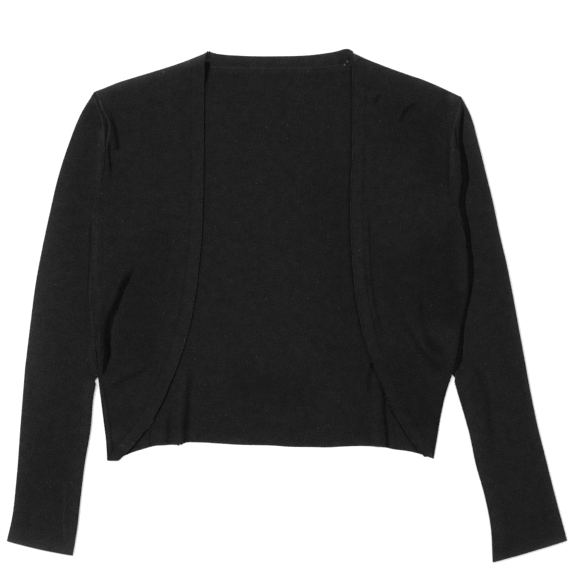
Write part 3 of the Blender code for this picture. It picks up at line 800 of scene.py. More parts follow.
# Fine-gauge viscose jersey, dyed black and knitted in plain stitch. It is matt, with a soft lit
# fuzz where it turns away, a close grain of stitches and yarn, and here and there a paler fibre.
@dataclass(frozen=True)
class BlackJersey:
    """The shrug's one cloth: its colours, its patterns' sizes in millimetres, and its gloss."""

    name: str = "black_plain_jersey"
    yarn: str = "#101010"
    lighter_yarn: str = "#1c1c1c"
    fibre: str = "#484848"
    # The real wales are about 1.1 mm apart and the courses 0.8 mm. That is too fine to show, so
    # both are drawn coarser.
    wale: float = 2.1
    course: float = 1.6
    stitch_depth: float = 0.35
    # How many there are to a metre. The specks of fuzz are 1.8 mm apart, coarser than the real
    # 0.3 mm, which is too fine to show. The wales wander every 6 mm, paler fibres are about 11 mm
    # apart, and soft patches of light and dark 8 mm.
    specks: float = 560.0
    wanderings: float = 160.0
    fibres: float = 90.0
    patches: float = 120.0
    speck_height: float = 1.2
    wander: float = 1.2
    roughness: float = 0.95
    sheen: float = 0.12

    def make(self) -> bpy.types.Material:
        """Builds the material.

        Returns:
            The material, which follows each piece's "cut" map, in metres of flat cloth.
        """
        material = bpy.data.materials.new(self.name)
        material.use_nodes = True
        tree = material.node_tree
        tree.nodes.clear()
        cut = add_node(tree, "ShaderNodeUVMap", uv_map="cut").outputs["UV"]
        grain = add_node(tree, "ShaderNodeTexNoise",
                         {"Vector": cut, "Scale": self.specks, "Detail": 3.0, "Roughness": 0.7},
                         noise_dimensions="2D").outputs["Fac"]
        stitch = self.stitches(tree, cut)
        height = add_node(tree, "ShaderNodeMath", {0: grain, 1: self.speck_height, 2: stitch},
                          operation="MULTIPLY_ADD")
        bump = add_node(tree, "ShaderNodeBump",
                        {"Strength": 0.5, "Distance": self.stitch_depth * MM,
                         "Height": height.outputs["Value"]})
        colour = self.mottle_and_paint_light(tree, cut, self.speckled(tree, cut, grain))
        shader = add_node(tree, "ShaderNodeBsdfPrincipled",
                          {"Base Color": colour, "Roughness": self.roughness,
                           "Normal": bump.outputs["Normal"], "Specular IOR Level": 0.02,
                           "Sheen Weight": self.sheen, "Sheen Roughness": 0.35})
        add_node(tree, "ShaderNodeOutputMaterial", {"Surface": shader.outputs["BSDF"]})
        return material

    def stitches(self, tree: bpy.types.NodeTree, cut: bpy.types.NodeSocket
                 ) -> bpy.types.NodeSocket:
        """Draws the slanted legs of the stitches, column by column, a little unevenly.

        Args:
            tree: the material's node tree.
            cut: the place on the flat cloth.

        Returns:
            The stitches' height, from 0 to 1.
        """
        wander = add_node(tree, "ShaderNodeTexNoise",
                          {"Vector": cut, "Scale": self.wanderings, "Detail": 1.0},
                          noise_dimensions="2D")
        jitter = add_node(tree, "ShaderNodeVectorMath",
                          {0: wander.outputs["Color"],
                           1: (self.wander * MM, self.wander * MM, 0.0)},
                          operation="MULTIPLY")
        yarn_place = add_node(tree, "ShaderNodeVectorMath",
                              {0: cut, 1: jitter.outputs["Vector"]}, operation="ADD")
        place = add_node(tree, "ShaderNodeSeparateXYZ", {"Vector": yarn_place.outputs["Vector"]})
        across = add_node(tree, "ShaderNodeMath", {0: place.outputs["X"], 1: 1 / (self.wale * MM)},
                          operation="MULTIPLY")
        half = add_node(tree, "ShaderNodeMath", {0: across.outputs["Value"], 1: 0.5},
                        operation="PINGPONG")
        down = add_node(tree, "ShaderNodeMath", {0: place.outputs["Y"], 1: 1 / (self.course * MM)},
                        operation="MULTIPLY")
        # Both legs of a stitch slant to the middle of its wale, and each has its own ridge.
        slanted = add_node(tree, "ShaderNodeMath",
                           {0: half.outputs["Value"], 1: down.outputs["Value"]}, operation="ADD")
        row = add_node(tree, "ShaderNodeMath", {0: slanted.outputs["Value"], 1: 0.5},
                       operation="PINGPONG")
        column = add_node(tree, "ShaderNodeMath", {0: half.outputs["Value"], 1: 0.25},
                          operation="PINGPONG")
        stitch = add_node(tree, "ShaderNodeMath",
                          {0: column.outputs["Value"], 1: 2.0, 2: row.outputs["Value"]},
                          operation="MULTIPLY_ADD")
        return stitch.outputs["Value"]

    def speckled(self, tree: bpy.types.NodeTree, cut: bpy.types.NodeSocket,
                 grain: bpy.types.NodeSocket) -> bpy.types.NodeSocket:
        """Colours the yarn unevenly and strews a few paler fibres over it.

        Args:
            tree: the material's node tree.
            cut: the place on the flat cloth.
            grain: the yarn's fine noise.

        Returns:
            The colour.
        """
        speckle = add_node(tree, "ShaderNodeMapRange",
                           {"Value": grain, "From Min": 0.3, "From Max": 0.7})
        knit = add_node(tree, "ShaderNodeMix",
                        {"Factor": speckle.outputs["Result"], "A": from_hex(self.yarn),
                         "B": from_hex(self.lighter_yarn)},
                        data_type="RGBA")
        scatter = add_node(tree, "ShaderNodeTexVoronoi", {"Vector": cut, "Scale": self.fibres},
                           voronoi_dimensions="2D")
        dot = add_node(tree, "ShaderNodeMapRange",
                       {"Value": scatter.outputs["Distance"], "From Min": 0.025, "From Max": 0.045,
                        "To Min": 1.0, "To Max": 0.0})
        chance = add_node(tree, "ShaderNodeSeparateColor", {"Color": scatter.outputs["Color"]})
        rare = add_node(tree, "ShaderNodeMapRange",
                        {"Value": chance.outputs["Red"], "From Min": 0.88, "From Max": 1.0})
        lint = add_node(tree, "ShaderNodeMath",
                        {0: dot.outputs["Result"], 1: rare.outputs["Result"]},
                        operation="MULTIPLY")
        linted = add_node(tree, "ShaderNodeMix",
                          {"Factor": lint.outputs["Value"], "A": knit.outputs["Result"],
                           "B": from_hex(self.fibre)},
                          data_type="RGBA")
        return linted.outputs["Result"]

    def mottle_and_paint_light(self, tree: bpy.types.NodeTree, cut: bpy.types.NodeSocket,
                               colour: bpy.types.NodeSocket) -> bpy.types.NodeSocket:
        """Mottles the cloth and paints shade into its creases and highlights onto its edges.

        Args:
            tree: the material's node tree.
            cut: the place on the flat cloth.
            colour: the even cloth's colour.

        Returns:
            The colour times the mottling and each piece's attribute of painted light: painted shade
            in creases and crevices, painted highlights on folds, hems and cuffs, the tone of each
            piece and a few pale thread specks.
        """
        patches = add_node(tree, "ShaderNodeTexNoise",
                           {"Vector": cut, "Scale": self.patches, "Detail": 2.0,
                            "Roughness": 0.6},
                           noise_dimensions="2D")
        mottling = add_node(tree, "ShaderNodeMapRange",
                            {"Value": patches.outputs["Fac"], "From Min": 0.3, "From Max": 0.7,
                             "To Min": 0.88, "To Max": 1.12})
        # Each piece's painted shade and highlights, with its tone, scale the colour.
        light = add_node(tree, "ShaderNodeAttribute", attribute_name="painted_light_and_tone")
        share = add_node(tree, "ShaderNodeMath",
                         {0: light.outputs["Fac"], 1: mottling.outputs["Result"]},
                         operation="MULTIPLY")
        scaled = add_node(tree, "ShaderNodeVectorMath",
                          {0: colour, "Scale": share.outputs["Value"]}, operation="SCALE")
        return scaled.outputs["Vector"]


@dataclass
class Shell:
    """The mesh of one piece of cloth before its wall: its points and what they carry."""

    mesh: bmesh.types.BMesh
    points: Array
    cut: Array
    light: Array

    def finish(self, name: str, wall: float, material: bpy.types.Material) -> bpy.types.Object:
        """Turns the shell into an object with a wall.

        Args:
            name: the piece's name.
            wall: the wall's thickness under the shell's outer face, in millimetres.
            material: the piece's finish.

        Returns:
            The piece, at the origin.
        """
        for vert, point in zip(self.mesh.verts, self.points):
            vert.co = Vector(point) * MM
        self.mesh.normal_update()
        mesh = bpy.data.meshes.new(name)
        self.mesh.to_mesh(mesh)
        self.mesh.free()
        corners = np.zeros(len(mesh.loops), np.int32)
        mesh.loops.foreach_get("vertex_index", corners)
        cut_map = mesh.uv_layers.new(name="cut")
        cut_map.data.foreach_set("uv", (self.cut[corners] * MM).astype(np.float32).ravel())
        # The painted light and shade, with the tone, go to the material as a point attribute.
        light = mesh.attributes.new("painted_light_and_tone", "FLOAT", "POINT")
        light.data.foreach_set("value", self.light.astype(np.float32))
        mesh.materials.append(material)
        mesh.shade_smooth()
        piece = bpy.data.objects.new(name, mesh)
        bpy.context.scene.collection.objects.link(piece)
        thick = piece.modifiers.new("wall", "SOLIDIFY")
        thick.thickness = wall * MM
        thick.offset = -1.0
        thick.use_rim = True
        return piece


def index_grid(columns: int, rows: int) -> bmesh.types.BMesh:
    """Makes a flat grid whose points lie from 0 to 1 along x and y.

    Args:
        columns: how many cells it has along x.
        rows: how many it has along y.

    Returns:
        The grid.
    """
    sheet = bmesh.new()
    bmesh.ops.create_grid(sheet, x_segments=columns, y_segments=rows, size=0.5)
    bmesh.ops.translate(sheet, verts=sheet.verts, vec=(0.5, 0.5, 0.0))
    return sheet


def places(sheet: bmesh.types.BMesh) -> Array:
    """Where a grid's points lie, from 0 to 1 along x and y."""
    return np.array([vert.co[:2] for vert in sheet.verts])


@dataclass
class Panel:
    """A flat cut of cloth between four lines, which its relief, edges and hem then shape.

    bottom and top run to the right, left and right run up. height is its upper face's, and floor
    that of what it lies on, whose own relief is under. hem is its turned hem's width, swell the
    height of its unevenness, cell the size of its grid's cells and tone how light it is as a whole.
    """

    name: str
    bottom: Array
    top: Array
    left: Array
    right: Array
    height: float
    relief: Relief
    edges: dict[str, Edge]
    under: Relief | None = None
    hem: float = 0.0
    swell: float = 0.3
    cell: float = 2.8
    wall: float = 1.0
    floor: float = 0.0
    tone: float = 1.0

    def plan(self, at: Array) -> Array:
        """Finds places on the cut, blended from its four sides.

        Args:
            at: rows of the shares of the way across and up.

        Returns:
            The places, as rows of x and y.
        """
        u = at[:, :1]
        v = at[:, 1:]
        across = (1 - u) * evenly(self.left, at[:, 1]) + u * evenly(self.right, at[:, 1])
        up = (1 - v) * evenly(self.bottom, at[:, 0]) + v * evenly(self.top, at[:, 0])
        low_corners = (1 - u) * self.bottom[0] + u * self.bottom[-1]
        high_corners = (1 - u) * self.top[0] + u * self.top[-1]
        return across + up - ((1 - v) * low_corners + v * high_corners)

    def shares(self, length: float) -> Array:
        """Spaces the grid's lines over a length, closer together towards both ends.

        Args:
            length: the length, in millimetres.

        Returns:
            The lines' places, as shares of the length.
        """
        margin = SIDE_LINES[-1]
        count = max(FEWEST_CELLS, round((length - 2 * margin) / self.cell))
        middle = np.linspace(margin, length - margin, count + 1)
        ends = np.array(SIDE_LINES[:-1])
        return np.concatenate([ends, middle, length - ends[::-1]]) / length

    def divided(self) -> bmesh.types.BMesh:
        """Divides the panel's grid, more finely along creases.

        Returns:
            The grid, with the shares of the way across and up as its points' coordinates.
        """
        wide = max(lengths_along(self.bottom)[-1], lengths_along(self.top)[-1])
        tall = max(lengths_along(self.left)[-1], lengths_along(self.right)[-1])
        columns = self.shares(wide)
        rows = self.shares(tall)
        sheet = index_grid(len(columns) - 1, len(rows) - 1)
        for level in (1, 2):
            faces = list(sheet.faces)
            centres = np.array([face.calc_center_median()[:2] for face in faces])
            centres = self.plan(self.spread(centres, columns, rows))
            wanted = self.relief.detail(centres) >= level
            if self.under:
                wanted |= self.under.detail(centres) >= level
            edges = dict.fromkeys(edge for face, yes in zip(faces, wanted)
                                  if yes and len(face.verts) == 4 for edge in face.edges)
            if edges:
                bmesh.ops.subdivide_edges(sheet, edges=list(edges), cuts=1, use_grid_fill=True)
            uneven = [face for face in sheet.faces if len(face.verts) > 4]
            bmesh.ops.triangulate(sheet, faces=uneven, quad_method="BEAUTY", ngon_method="BEAUTY")
        for vert, at in zip(sheet.verts, self.spread(places(sheet), columns, rows)):
            vert.co = (at[0], at[1], 0.0)
        return sheet

    @staticmethod
    def spread(at: Array, columns: Array, rows: Array) -> Array:
        """Moves an even grid's places to the grid's own column and row shares.

        Args:
            at: rows of even shares across and up.
            columns: the shares that the columns lie at.
            rows: the shares that the rows lie at.

        Returns:
            The places, as rows of shares.
        """
        across = np.interp(at[:, 0], np.linspace(0, 1, len(columns)), columns)
        up = np.interp(at[:, 1], np.linspace(0, 1, len(rows)), rows)
        return np.stack([across, up], axis=1)

    def edge_fall(self, plan: Array) -> Array:
        """Works out how far the upper face is rolled down at the panel's edges.

        Args:
            plan: rows of x and y.

        Returns:
            The fall at each point.
        """
        fall = np.zeros(len(plan))
        for side, edge in self.edges.items():
            t = 1 - np.clip(beside(plan, getattr(self, side)) / edge.reach, 0.0, 1.0)
            turn = t * t if edge.form is Form.PINCHED else rounded(t)
            fall = np.maximum(fall, edge.drop * turn)
        return fall

    def edge_light(self, plan: Array) -> Array:
        """Works out the painted highlights and shade on the cloth's colour, by its edges and its hem.

        Args:
            plan: rows of x and y.

        Returns:
            The painted light at each point, a factor on the colour, 1 on plain cloth.
        """
        light = np.ones(len(plan))
        for side, edge in self.edges.items():
            distance = beside(plan, getattr(self, side))
            light += (edge.light - 1) * bell(distance, edge.light_reach)
            light += edge.rim * np.exp(-distance / RIM_FADE)
        if self.hem:
            from_hem = beside(plan, self.bottom) - self.hem
            light += (HEM_LIGHT - 1) * (1 - ease(from_hem / HEM_FADE))
            light -= HEM_SHADE * bell(from_hem, HEM_GROOVE)
        return light

    def hem_lift(self, plan: Array) -> Array:
        """Works out how far the turned hem stands above the plain cloth.

        Args:
            plan: rows of x and y.

        Returns:
            The rise at each point.
        """
        if not self.hem:
            return np.zeros(len(plan))
        return turned_up(beside(plan, self.bottom), self.hem, HEM_GROOVE)

    def build(self, material: bpy.types.Material) -> bpy.types.Object:
        """Builds the panel as an object.

        Args:
            material: the panel's finish.

        Returns:
            The panel.
        """
        sheet = self.divided()
        plan = self.plan(places(sheet))
        lift, shift, light = self.relief.press(plan)
        above = self.height - self.floor - self.wall + lift + self.swell * unevenness(plan)
        height = self.floor + self.wall + (above + np.sqrt(above**2 + REST_BLEND)) / 2
        if self.under:
            height += self.under.press(plan)[0]
        height = np.maximum(height + self.hem_lift(plan) - self.edge_fall(plan), self.wall)
        # The colour takes painted light: the creases' shade and highlights, the panel's tone, the
        # edges' and hem's highlights and shade, and a little more light where the waves rise.
        light *= self.tone * self.edge_light(plan) * (1 + UNEVEN_LIGHT * unevenness(plan))
        points = np.column_stack([plan + shift, height])
        return Shell(sheet, points, plan, light).finish(self.name, self.wall, material)

    def outline(self) -> Array:
        """The outline of the cut, all the way round."""
        return chain(self.bottom, self.right, self.top[::-1], self.left[::-1])

    def cut_area(self) -> float:
        """The cut's flat area, in square millimetres."""
        x, y = self.outline().T
        return abs(float(np.sum(x * np.roll(y, -1) - y * np.roll(x, -1)))) / 2


def armhole_line(side: Side) -> Array:
    """The armhole seam, from the shoulder down to the underarm."""
    return smooth_line(side.armhole, steps=120)


def body_side(side: Side) -> Array:
    """The side of the body from the hem up: the side seam, and then the armhole."""
    return chain(armhole_line(side), smooth_line(side.side_seam, steps=40))[::-1]


@dataclass
class Back:
    """The back panel, seen from its inner face between the fronts, and the band along its neck.

    right_corner and left_corner are the short edges between a shoulder and the neckline, and
    under_band is where the neckline starts beside the right one. linking is how far under the
    neckline its two rows of linking are, band_tuck how far under it the neck band reaches, and
    band_end the bend in the band's right end.
    """

    hem_line: tuple[Spot, ...] = ((-194.6, -167), (-182, -164), (-167.9, -158.3), (-155, -154.2),
                                  (-142, -150.9), (-129, -150.1), (-116, -149.3), (-108.5, -147.4),
                                  (-95, -147.2), (-77, -148.4), (-49, -150), (-13.5, -150.9),
                                  (0.5, -152), (24, -152.4), (46, -152.6), (58, -151.9),
                                  (86, -151.4), (104, -152.6), (117.2, -155.1), (130.1, -156.8),
                                  (143.1, -159.9), (157.7, -165))
    neckline: tuple[Spot, ...] = ((-83, 257.4), (-51.3, 256), (-5, 256), (35, 257), (62.5, 259.6),
                                  (70.4, 260.2))
    neck_top: tuple[Spot, ...] = ((-89, 273.4), (-85.6, 274.4), (-77.2, 272.6), (-51.3, 270.3),
                                  (-12.4, 269.7), (26.5, 271.1), (52.4, 274.8), (65.4, 277.6),
                                  (70.8, 275))
    right_corner: tuple[Spot, Spot] = ((-86.8, 271.5), (-78.6, 258.4))
    left_corner: tuple[Spot, Spot] = ((63.2, 260.6), (69.2, 272.8))
    under_band: Spot = (-78, 257.2)
    linking: tuple[float, float] = (0.6, 4.2)
    band_tuck: float = 0.5
    band_end: tuple[Spot, Spot] = ((-83.4, 262.6), (-88.8, 264.2))
    # The neck band's corners: painted shade in them, and small pale thread specks where the light is
    # far above 1.
    corners: tuple[Crease, ...] = (
        Crease(((-85.6, 273.2), (-85.9, 268.9), (-86.1, 264.1)),
               -0.3, 4.0, 4.0, 0.0, 0.0, light=0.62),
        Crease(((-86.7, 265), (-84.8, 265.7)), 0.4, 0.9, 0.9, 0.0, 0.0, light=2.6),
        Crease(((64.5, 264.4), (64.9, 263.1)), 0.4, 0.9, 0.9, 0.0, 0.0, light=9.0),
        Crease(((61.2, 260.7), (61.9, 259.8)), 0.4, 0.9, 0.9, 0.0, 0.0, light=9.0),
        Crease(((66.9, 268.4), (66.6, 262.4), (64, 259.2), (68.4, 256)),
               -0.3, 1.6, 1.6, 0.0, 0.0, light=0.6),
        Crease(((58, 272), (62, 256)), 0.0, 9.0, 9.0, 0.0, 0.0, light=0.82),
    )
    # The flutes above the hem; a light below 1 is painted shade and one above 1 a painted highlight.
    flutes: tuple[Crease, ...] = (
        Crease(((-136.5, -154), (-134.5, -140), (-128, -104)), 2.6, 7.0, 7.0, 0.0, 30.0),
        Crease(((-117.5, -152), (-116.5, -130), (-115, -78)), 3.6, 7.5, 7.5, 0.0, 46.0),
        Crease(((-100, -152), (-100, -120), (-100.5, -68)), 2.4, 7.0, 22.0, 0.0, 40.0),
        Crease(((-109.6, -153.4), (-109.6, -142.6), (-109.8, -133.9), (-109, -123.1),
                (-107.7, -112.3), (-107.7, -101.5), (-107.2, -90.7), (-105.9, -77.8),
                (-104.8, -62.6)), -0.3, 5.0, 5.6, 0.0, 24.0, light=0.62),
        Crease(((-110.3, -153.4), (-110.1, -133.9), (-109, -121), (-107.9, -110.2),
                (-107.7, -97.2)), -0.3, 2.6, 2.6, 0.0, 10.0, light=0.78),
        Crease(((-116.6, -153.4), (-116.3, -128.5), (-115.7, -103.7), (-115.5, -84.2)),
               0.4, 3.6, 3.6, 0.0, 14.0, light=1.14),
        Crease(((-109.6, -151.2), (-67.5, -146.9), (-23.2, -148.5)),
               0.0, 8.0, 9.0, 6.0, 30.0, light=1.1),
        Crease(((-128.6, -154), (-128.4, -130), (-129, -112)),
               -0.1, 3.0, 3.0, 0.0, 20.0, light=0.76),
        Crease(((-148, -156), (-148.4, -140), (-147, -124)), -0.1, 2.4, 2.4, 0.0, 16.0, light=0.7),
        Crease(((97.6, -156), (96.5, -120), (92.5, -76)), 3.4, 8.0, 7.6, 0.0, 40.0, light=1.08),
        Crease(((112.5, -156), (111.5, -140), (108, -110)), 2.2, 6.0, 6.0, 0.0, 26.0),
        Crease(((108.3, -155.5), (107.2, -140.4), (106.6, -131.8), (105.5, -123.1),
                (104.7, -114.5), (104.4, -105.8), (104, -97.2), (101.5, -87.5)),
               -0.4, 3.4, 3.6, 0.0, 8.0, light=0.4),
        Crease(((91.3, -58.3), (90.6, -64.8), (88.9, -73.4), (87.8, -82.1), (87.8, -92.9),
                (88.5, -108)), -0.4, 4.4, 4.2, 4.0, 26.0, light=0.62),
        Crease(((90.8, -60.5), (90.9, -68)), -0.2, 2.4, 2.4, 2.0, 2.0, light=0.6),
    )
    # Broad swells and hollows; a light below 1 is painted shade and one above 1 a painted highlight.
    swells: tuple[Crease, ...] = (
        Crease(((-70, 235), (0, 238), (55, 232)), 0.8, 26.0, 26.0, 30.0, 30.0, light=1.05),
        Crease(((-78, 246), (-76, 200), (-70, 150)), 0.0, 30.0, 20.0, 10.0, 40.0, light=1.04),
        Crease(((-20, 190), (30, 178), (66, 160)), 0.0, 34.0, 34.0, 40.0, 10.0, light=0.96),
        Crease(((10, 130), (30, 60), (42, -20)), -0.7, 34.0, 34.0, 50.0, 50.0),
        Crease(((-60, -95), (-57, -150)), 0.8, 12.0, 12.0, 20.0, 0.0),
        Crease(((-20, -85), (-14, -150)), 0.7, 14.0, 14.0, 24.0, 0.0),
        Crease(((35, -95), (40, -150)), 0.6, 15.0, 15.0, 20.0, 0.0),
        Crease(((-80, 120), (-10, 112), (60, 118)), 0.5, 18.0, 18.0, 30.0, 30.0),
        Crease(((37.3, 168.5), (45.9, 114.5), (54.5, 49.7), (62.1, -15.1), (69.7, -79.9)),
               -0.4, 50.0, 50.0, 40.0, 20.0, light=0.87),
        Crease(((91.3, -47.5), (84.8, -101.5), (91.3, -144.7)),
               -0.2, 34.0, 40.0, 30.0, 14.0, light=0.88),
        Crease(((-78.3, -79.9), (-24.3, -88.6), (45.9, -92.9)),
               -0.3, 34.0, 34.0, 30.0, 30.0, light=0.86),
    )

    def lift(self) -> Relief:
        """What the back lifts off the table, and so whatever lies on it."""
        return Relief(self.flutes)

    def edge_shadows(self) -> tuple[Crease, ...]:
        """Paints the shadows on the back under the fronts' free edges and in the neck's corner.

        Each free edge has a line along all of it, and another along its lower part.

        Returns:
            The lines, as creases.
        """
        return (
            Crease(RIGHT.front_edge, 0.0, 2.5, 2.0, 3.0, 4.0, light=0.26),
            Crease(RIGHT.front_edge[12:], 0.0, 3.4, 2.4, 8.0, 8.0, light=0.4),
            Crease(LEFT.front_edge, 0.0, 2.0, 5.0, 3.0, 4.0, light=0.6),
            Crease(LEFT.front_edge[20:], 0.0, 2.0, 2.6, 4.0, 8.0, light=0.7),
            Crease(((-86.3, 264.2), (-86.7, 257), (-87.5, 248.4), (-88.5, 235.4)),
                   -0.4, 5.6, 3.2, 1.5, 10.0, light=0.2, end_taper=0.3),
        )

    def neck_lines(self) -> tuple[Crease, ...]:
        """Draws the two rows of linking under the neck band, with painted highlights on them.

        Returns:
            The rows, as creases along the neckline.
        """
        near, far = (tuple((x, y - down) for x, y in self.neckline) for down in self.linking)
        return (Crease(near, 0.3, 1.6, 5.0, 4.0, 4.0, light=1.3),
                Crease(far, 0.2, 1.2, 1.2, 4.0, 4.0, light=1.08))

    def panel(self) -> Panel:
        """Draws the back panel's cut.

        Returns:
            The panel, with its creases and its turned hem.
        """
        top = np.concatenate([smooth_line(RIGHT.shoulder, steps=60)[::-1],
                              np.linspace(*self.right_corner, 8),
                              smooth_line((self.under_band,) + self.neckline[1:-1], steps=40),
                              np.linspace(*self.left_corner, 8),
                              smooth_line(LEFT.shoulder, steps=60)])
        creases = self.flutes + self.swells + self.edge_shadows() + self.neck_lines()
        # The hem's edge gets a painted highlight and a painted rim.
        hem_edge = Edge(drop=0.9, reach=1.8, light=1.22, light_reach=11.0, rim=0.6)
        return Panel("back", smooth_line(self.hem_line, steps=200), top, body_side(RIGHT),
                     body_side(LEFT), BACK_TOP, Relief(creases), {"bottom": hem_edge}, hem=3.6,
                     cell=3.25)

    def band(self) -> Panel:
        """Draws the neck band's cut.

        Returns:
            The band, with the small creases at its corners.
        """
        low = smooth_line(self.neckline, steps=60)
        high = smooth_line(self.neck_top, steps=60)
        low[:, 1] -= self.band_tuck
        left = np.array([low[0], *self.band_end, high[0]])
        right = np.stack([low[-1], high[-1]])
        # Painted highlights along the band's lower and upper edges, and painted shade at its left
        # end.
        edges = {"bottom": Edge(0.3, 1.4, 1.5, 2.0, Form.PINCHED),
                 "top": Edge(1.0, 2.2, 1.3, 11.0, rim=1.2), "left": Edge(0.8, 1.4, 0.8),
                 "right": Edge(0.8, 1.4)}
        return Panel("neck_band", low, high, left, right, NECK_BAND_TOP, Relief(self.corners),
                     edges, swell=0.1, wall=1.3, tone=1.12)


@dataclass
class Front:
    """One front panel and the band along its free edge, with the relief of the back under them.

    The seam between the two follows the free edge from seam_start below the shoulder to seam_stop
    above the band's lower end, and runs straight from there to its own ends.
    """

    side: Side
    word: str
    lift: Relief
    seam_start: float = 2.0
    seam_stop: float = 6.0

    def lines(self) -> tuple[Array, Array]:
        """Draws the two long sides of the band.

        Returns:
            The front's free edge and the seam between band and panel, from the neck down.
        """
        edge = smooth_line(self.side.front_edge, steps=160)
        seam = moved_out(edge, FRONT_BAND, self.side.sign)
        top = np.array([self.side.shoulder[1]])
        foot = edge[-1:] + np.array([[self.side.sign * self.side.band_foot, 0.0]])
        start = top[0, 1] - self.seam_start
        stop = foot[0, 1] + self.seam_stop
        between = seam[(seam[:, 1] < start) & (seam[:, 1] > stop)]
        return edge, evenly(np.concatenate([top, between, foot]), np.linspace(0.0, 1.0, len(edge)))

    def sides(self) -> tuple[str, str]:
        """The names of a cut's sides towards the garment's middle and away from it."""
        return ("left", "right") if self.side.sign > 0 else ("right", "left")

    def panel(self) -> Panel:
        """Draws the front's cut.

        Returns:
            The panel, which lies on the back and rises with its flutes.
        """
        _, seam = self.lines()
        inner = moved_out(seam, SEAM_GAP, self.side.sign)[::-1]
        inner[0] = seam[-1] + np.array([self.side.sign * SEAM_GAP, 0.0])
        outer = body_side(self.side)
        # The first two points of the shoulder are on the band.
        shoulder = smooth_line((tuple(inner[-1]),) + self.side.shoulder[2:], steps=60)
        hem = smooth_line(np.stack([inner[0], outer[0]]), steps=20)
        if self.side.sign < 0:
            shoulder = shoulder[::-1]
            hem = hem[::-1]
        inner_side, outer_side = self.sides()
        lines = {inner_side: inner, outer_side: outer}
        edges = {"bottom": TURNED, "top": replace(FOLDED, rim=self.side.shoulder_rim),
                 inner_side: LINKED, outer_side: SEWN}
        return Panel(self.word + "_front_panel", hem, shoulder, lines["left"], lines["right"],
                     FRONT_TOP, Relief(self.side.front_creases), edges, under=self.lift,
                     floor=FRONT_FLOOR, cell=3.0)

    def band(self) -> Panel:
        """Draws the band's cut.

        Returns:
            The band, from the shoulder to the side seam.
        """
        edge, seam = self.lines()
        inner_side, outer_side = self.sides()
        lines = {inner_side: edge[::-1], outer_side: seam[::-1]}
        bottom = np.stack([lines["left"][0], lines["right"][0]])
        top = np.stack([lines["left"][-1], lines["right"][-1]])
        # A painted highlight on the right band's free edge and shade on the left one's, painted shade
        # at the seam and painted highlights at both ends.
        edges = {inner_side: Edge(1.4, 2.0, self.side.band_lip, 1.3),
                 outer_side: Edge(0.8, 2.0, self.side.band_seam, 1.3, Form.PINCHED),
                 "top": Edge(1.2, 2.2, 1.3, 8.0, rim=self.side.shoulder_rim),
                 "bottom": Edge(1.2, 1.6, 1.3, 8.0, rim=0.4)}
        return Panel(self.word + "_band", bottom, top, lines["left"], lines["right"], BAND_TOP,
                     Relief(self.side.front_creases), edges, under=self.lift, cell=1.9, wall=1.5,
                     floor=FRONT_FLOOR, tone=self.side.band_tone)


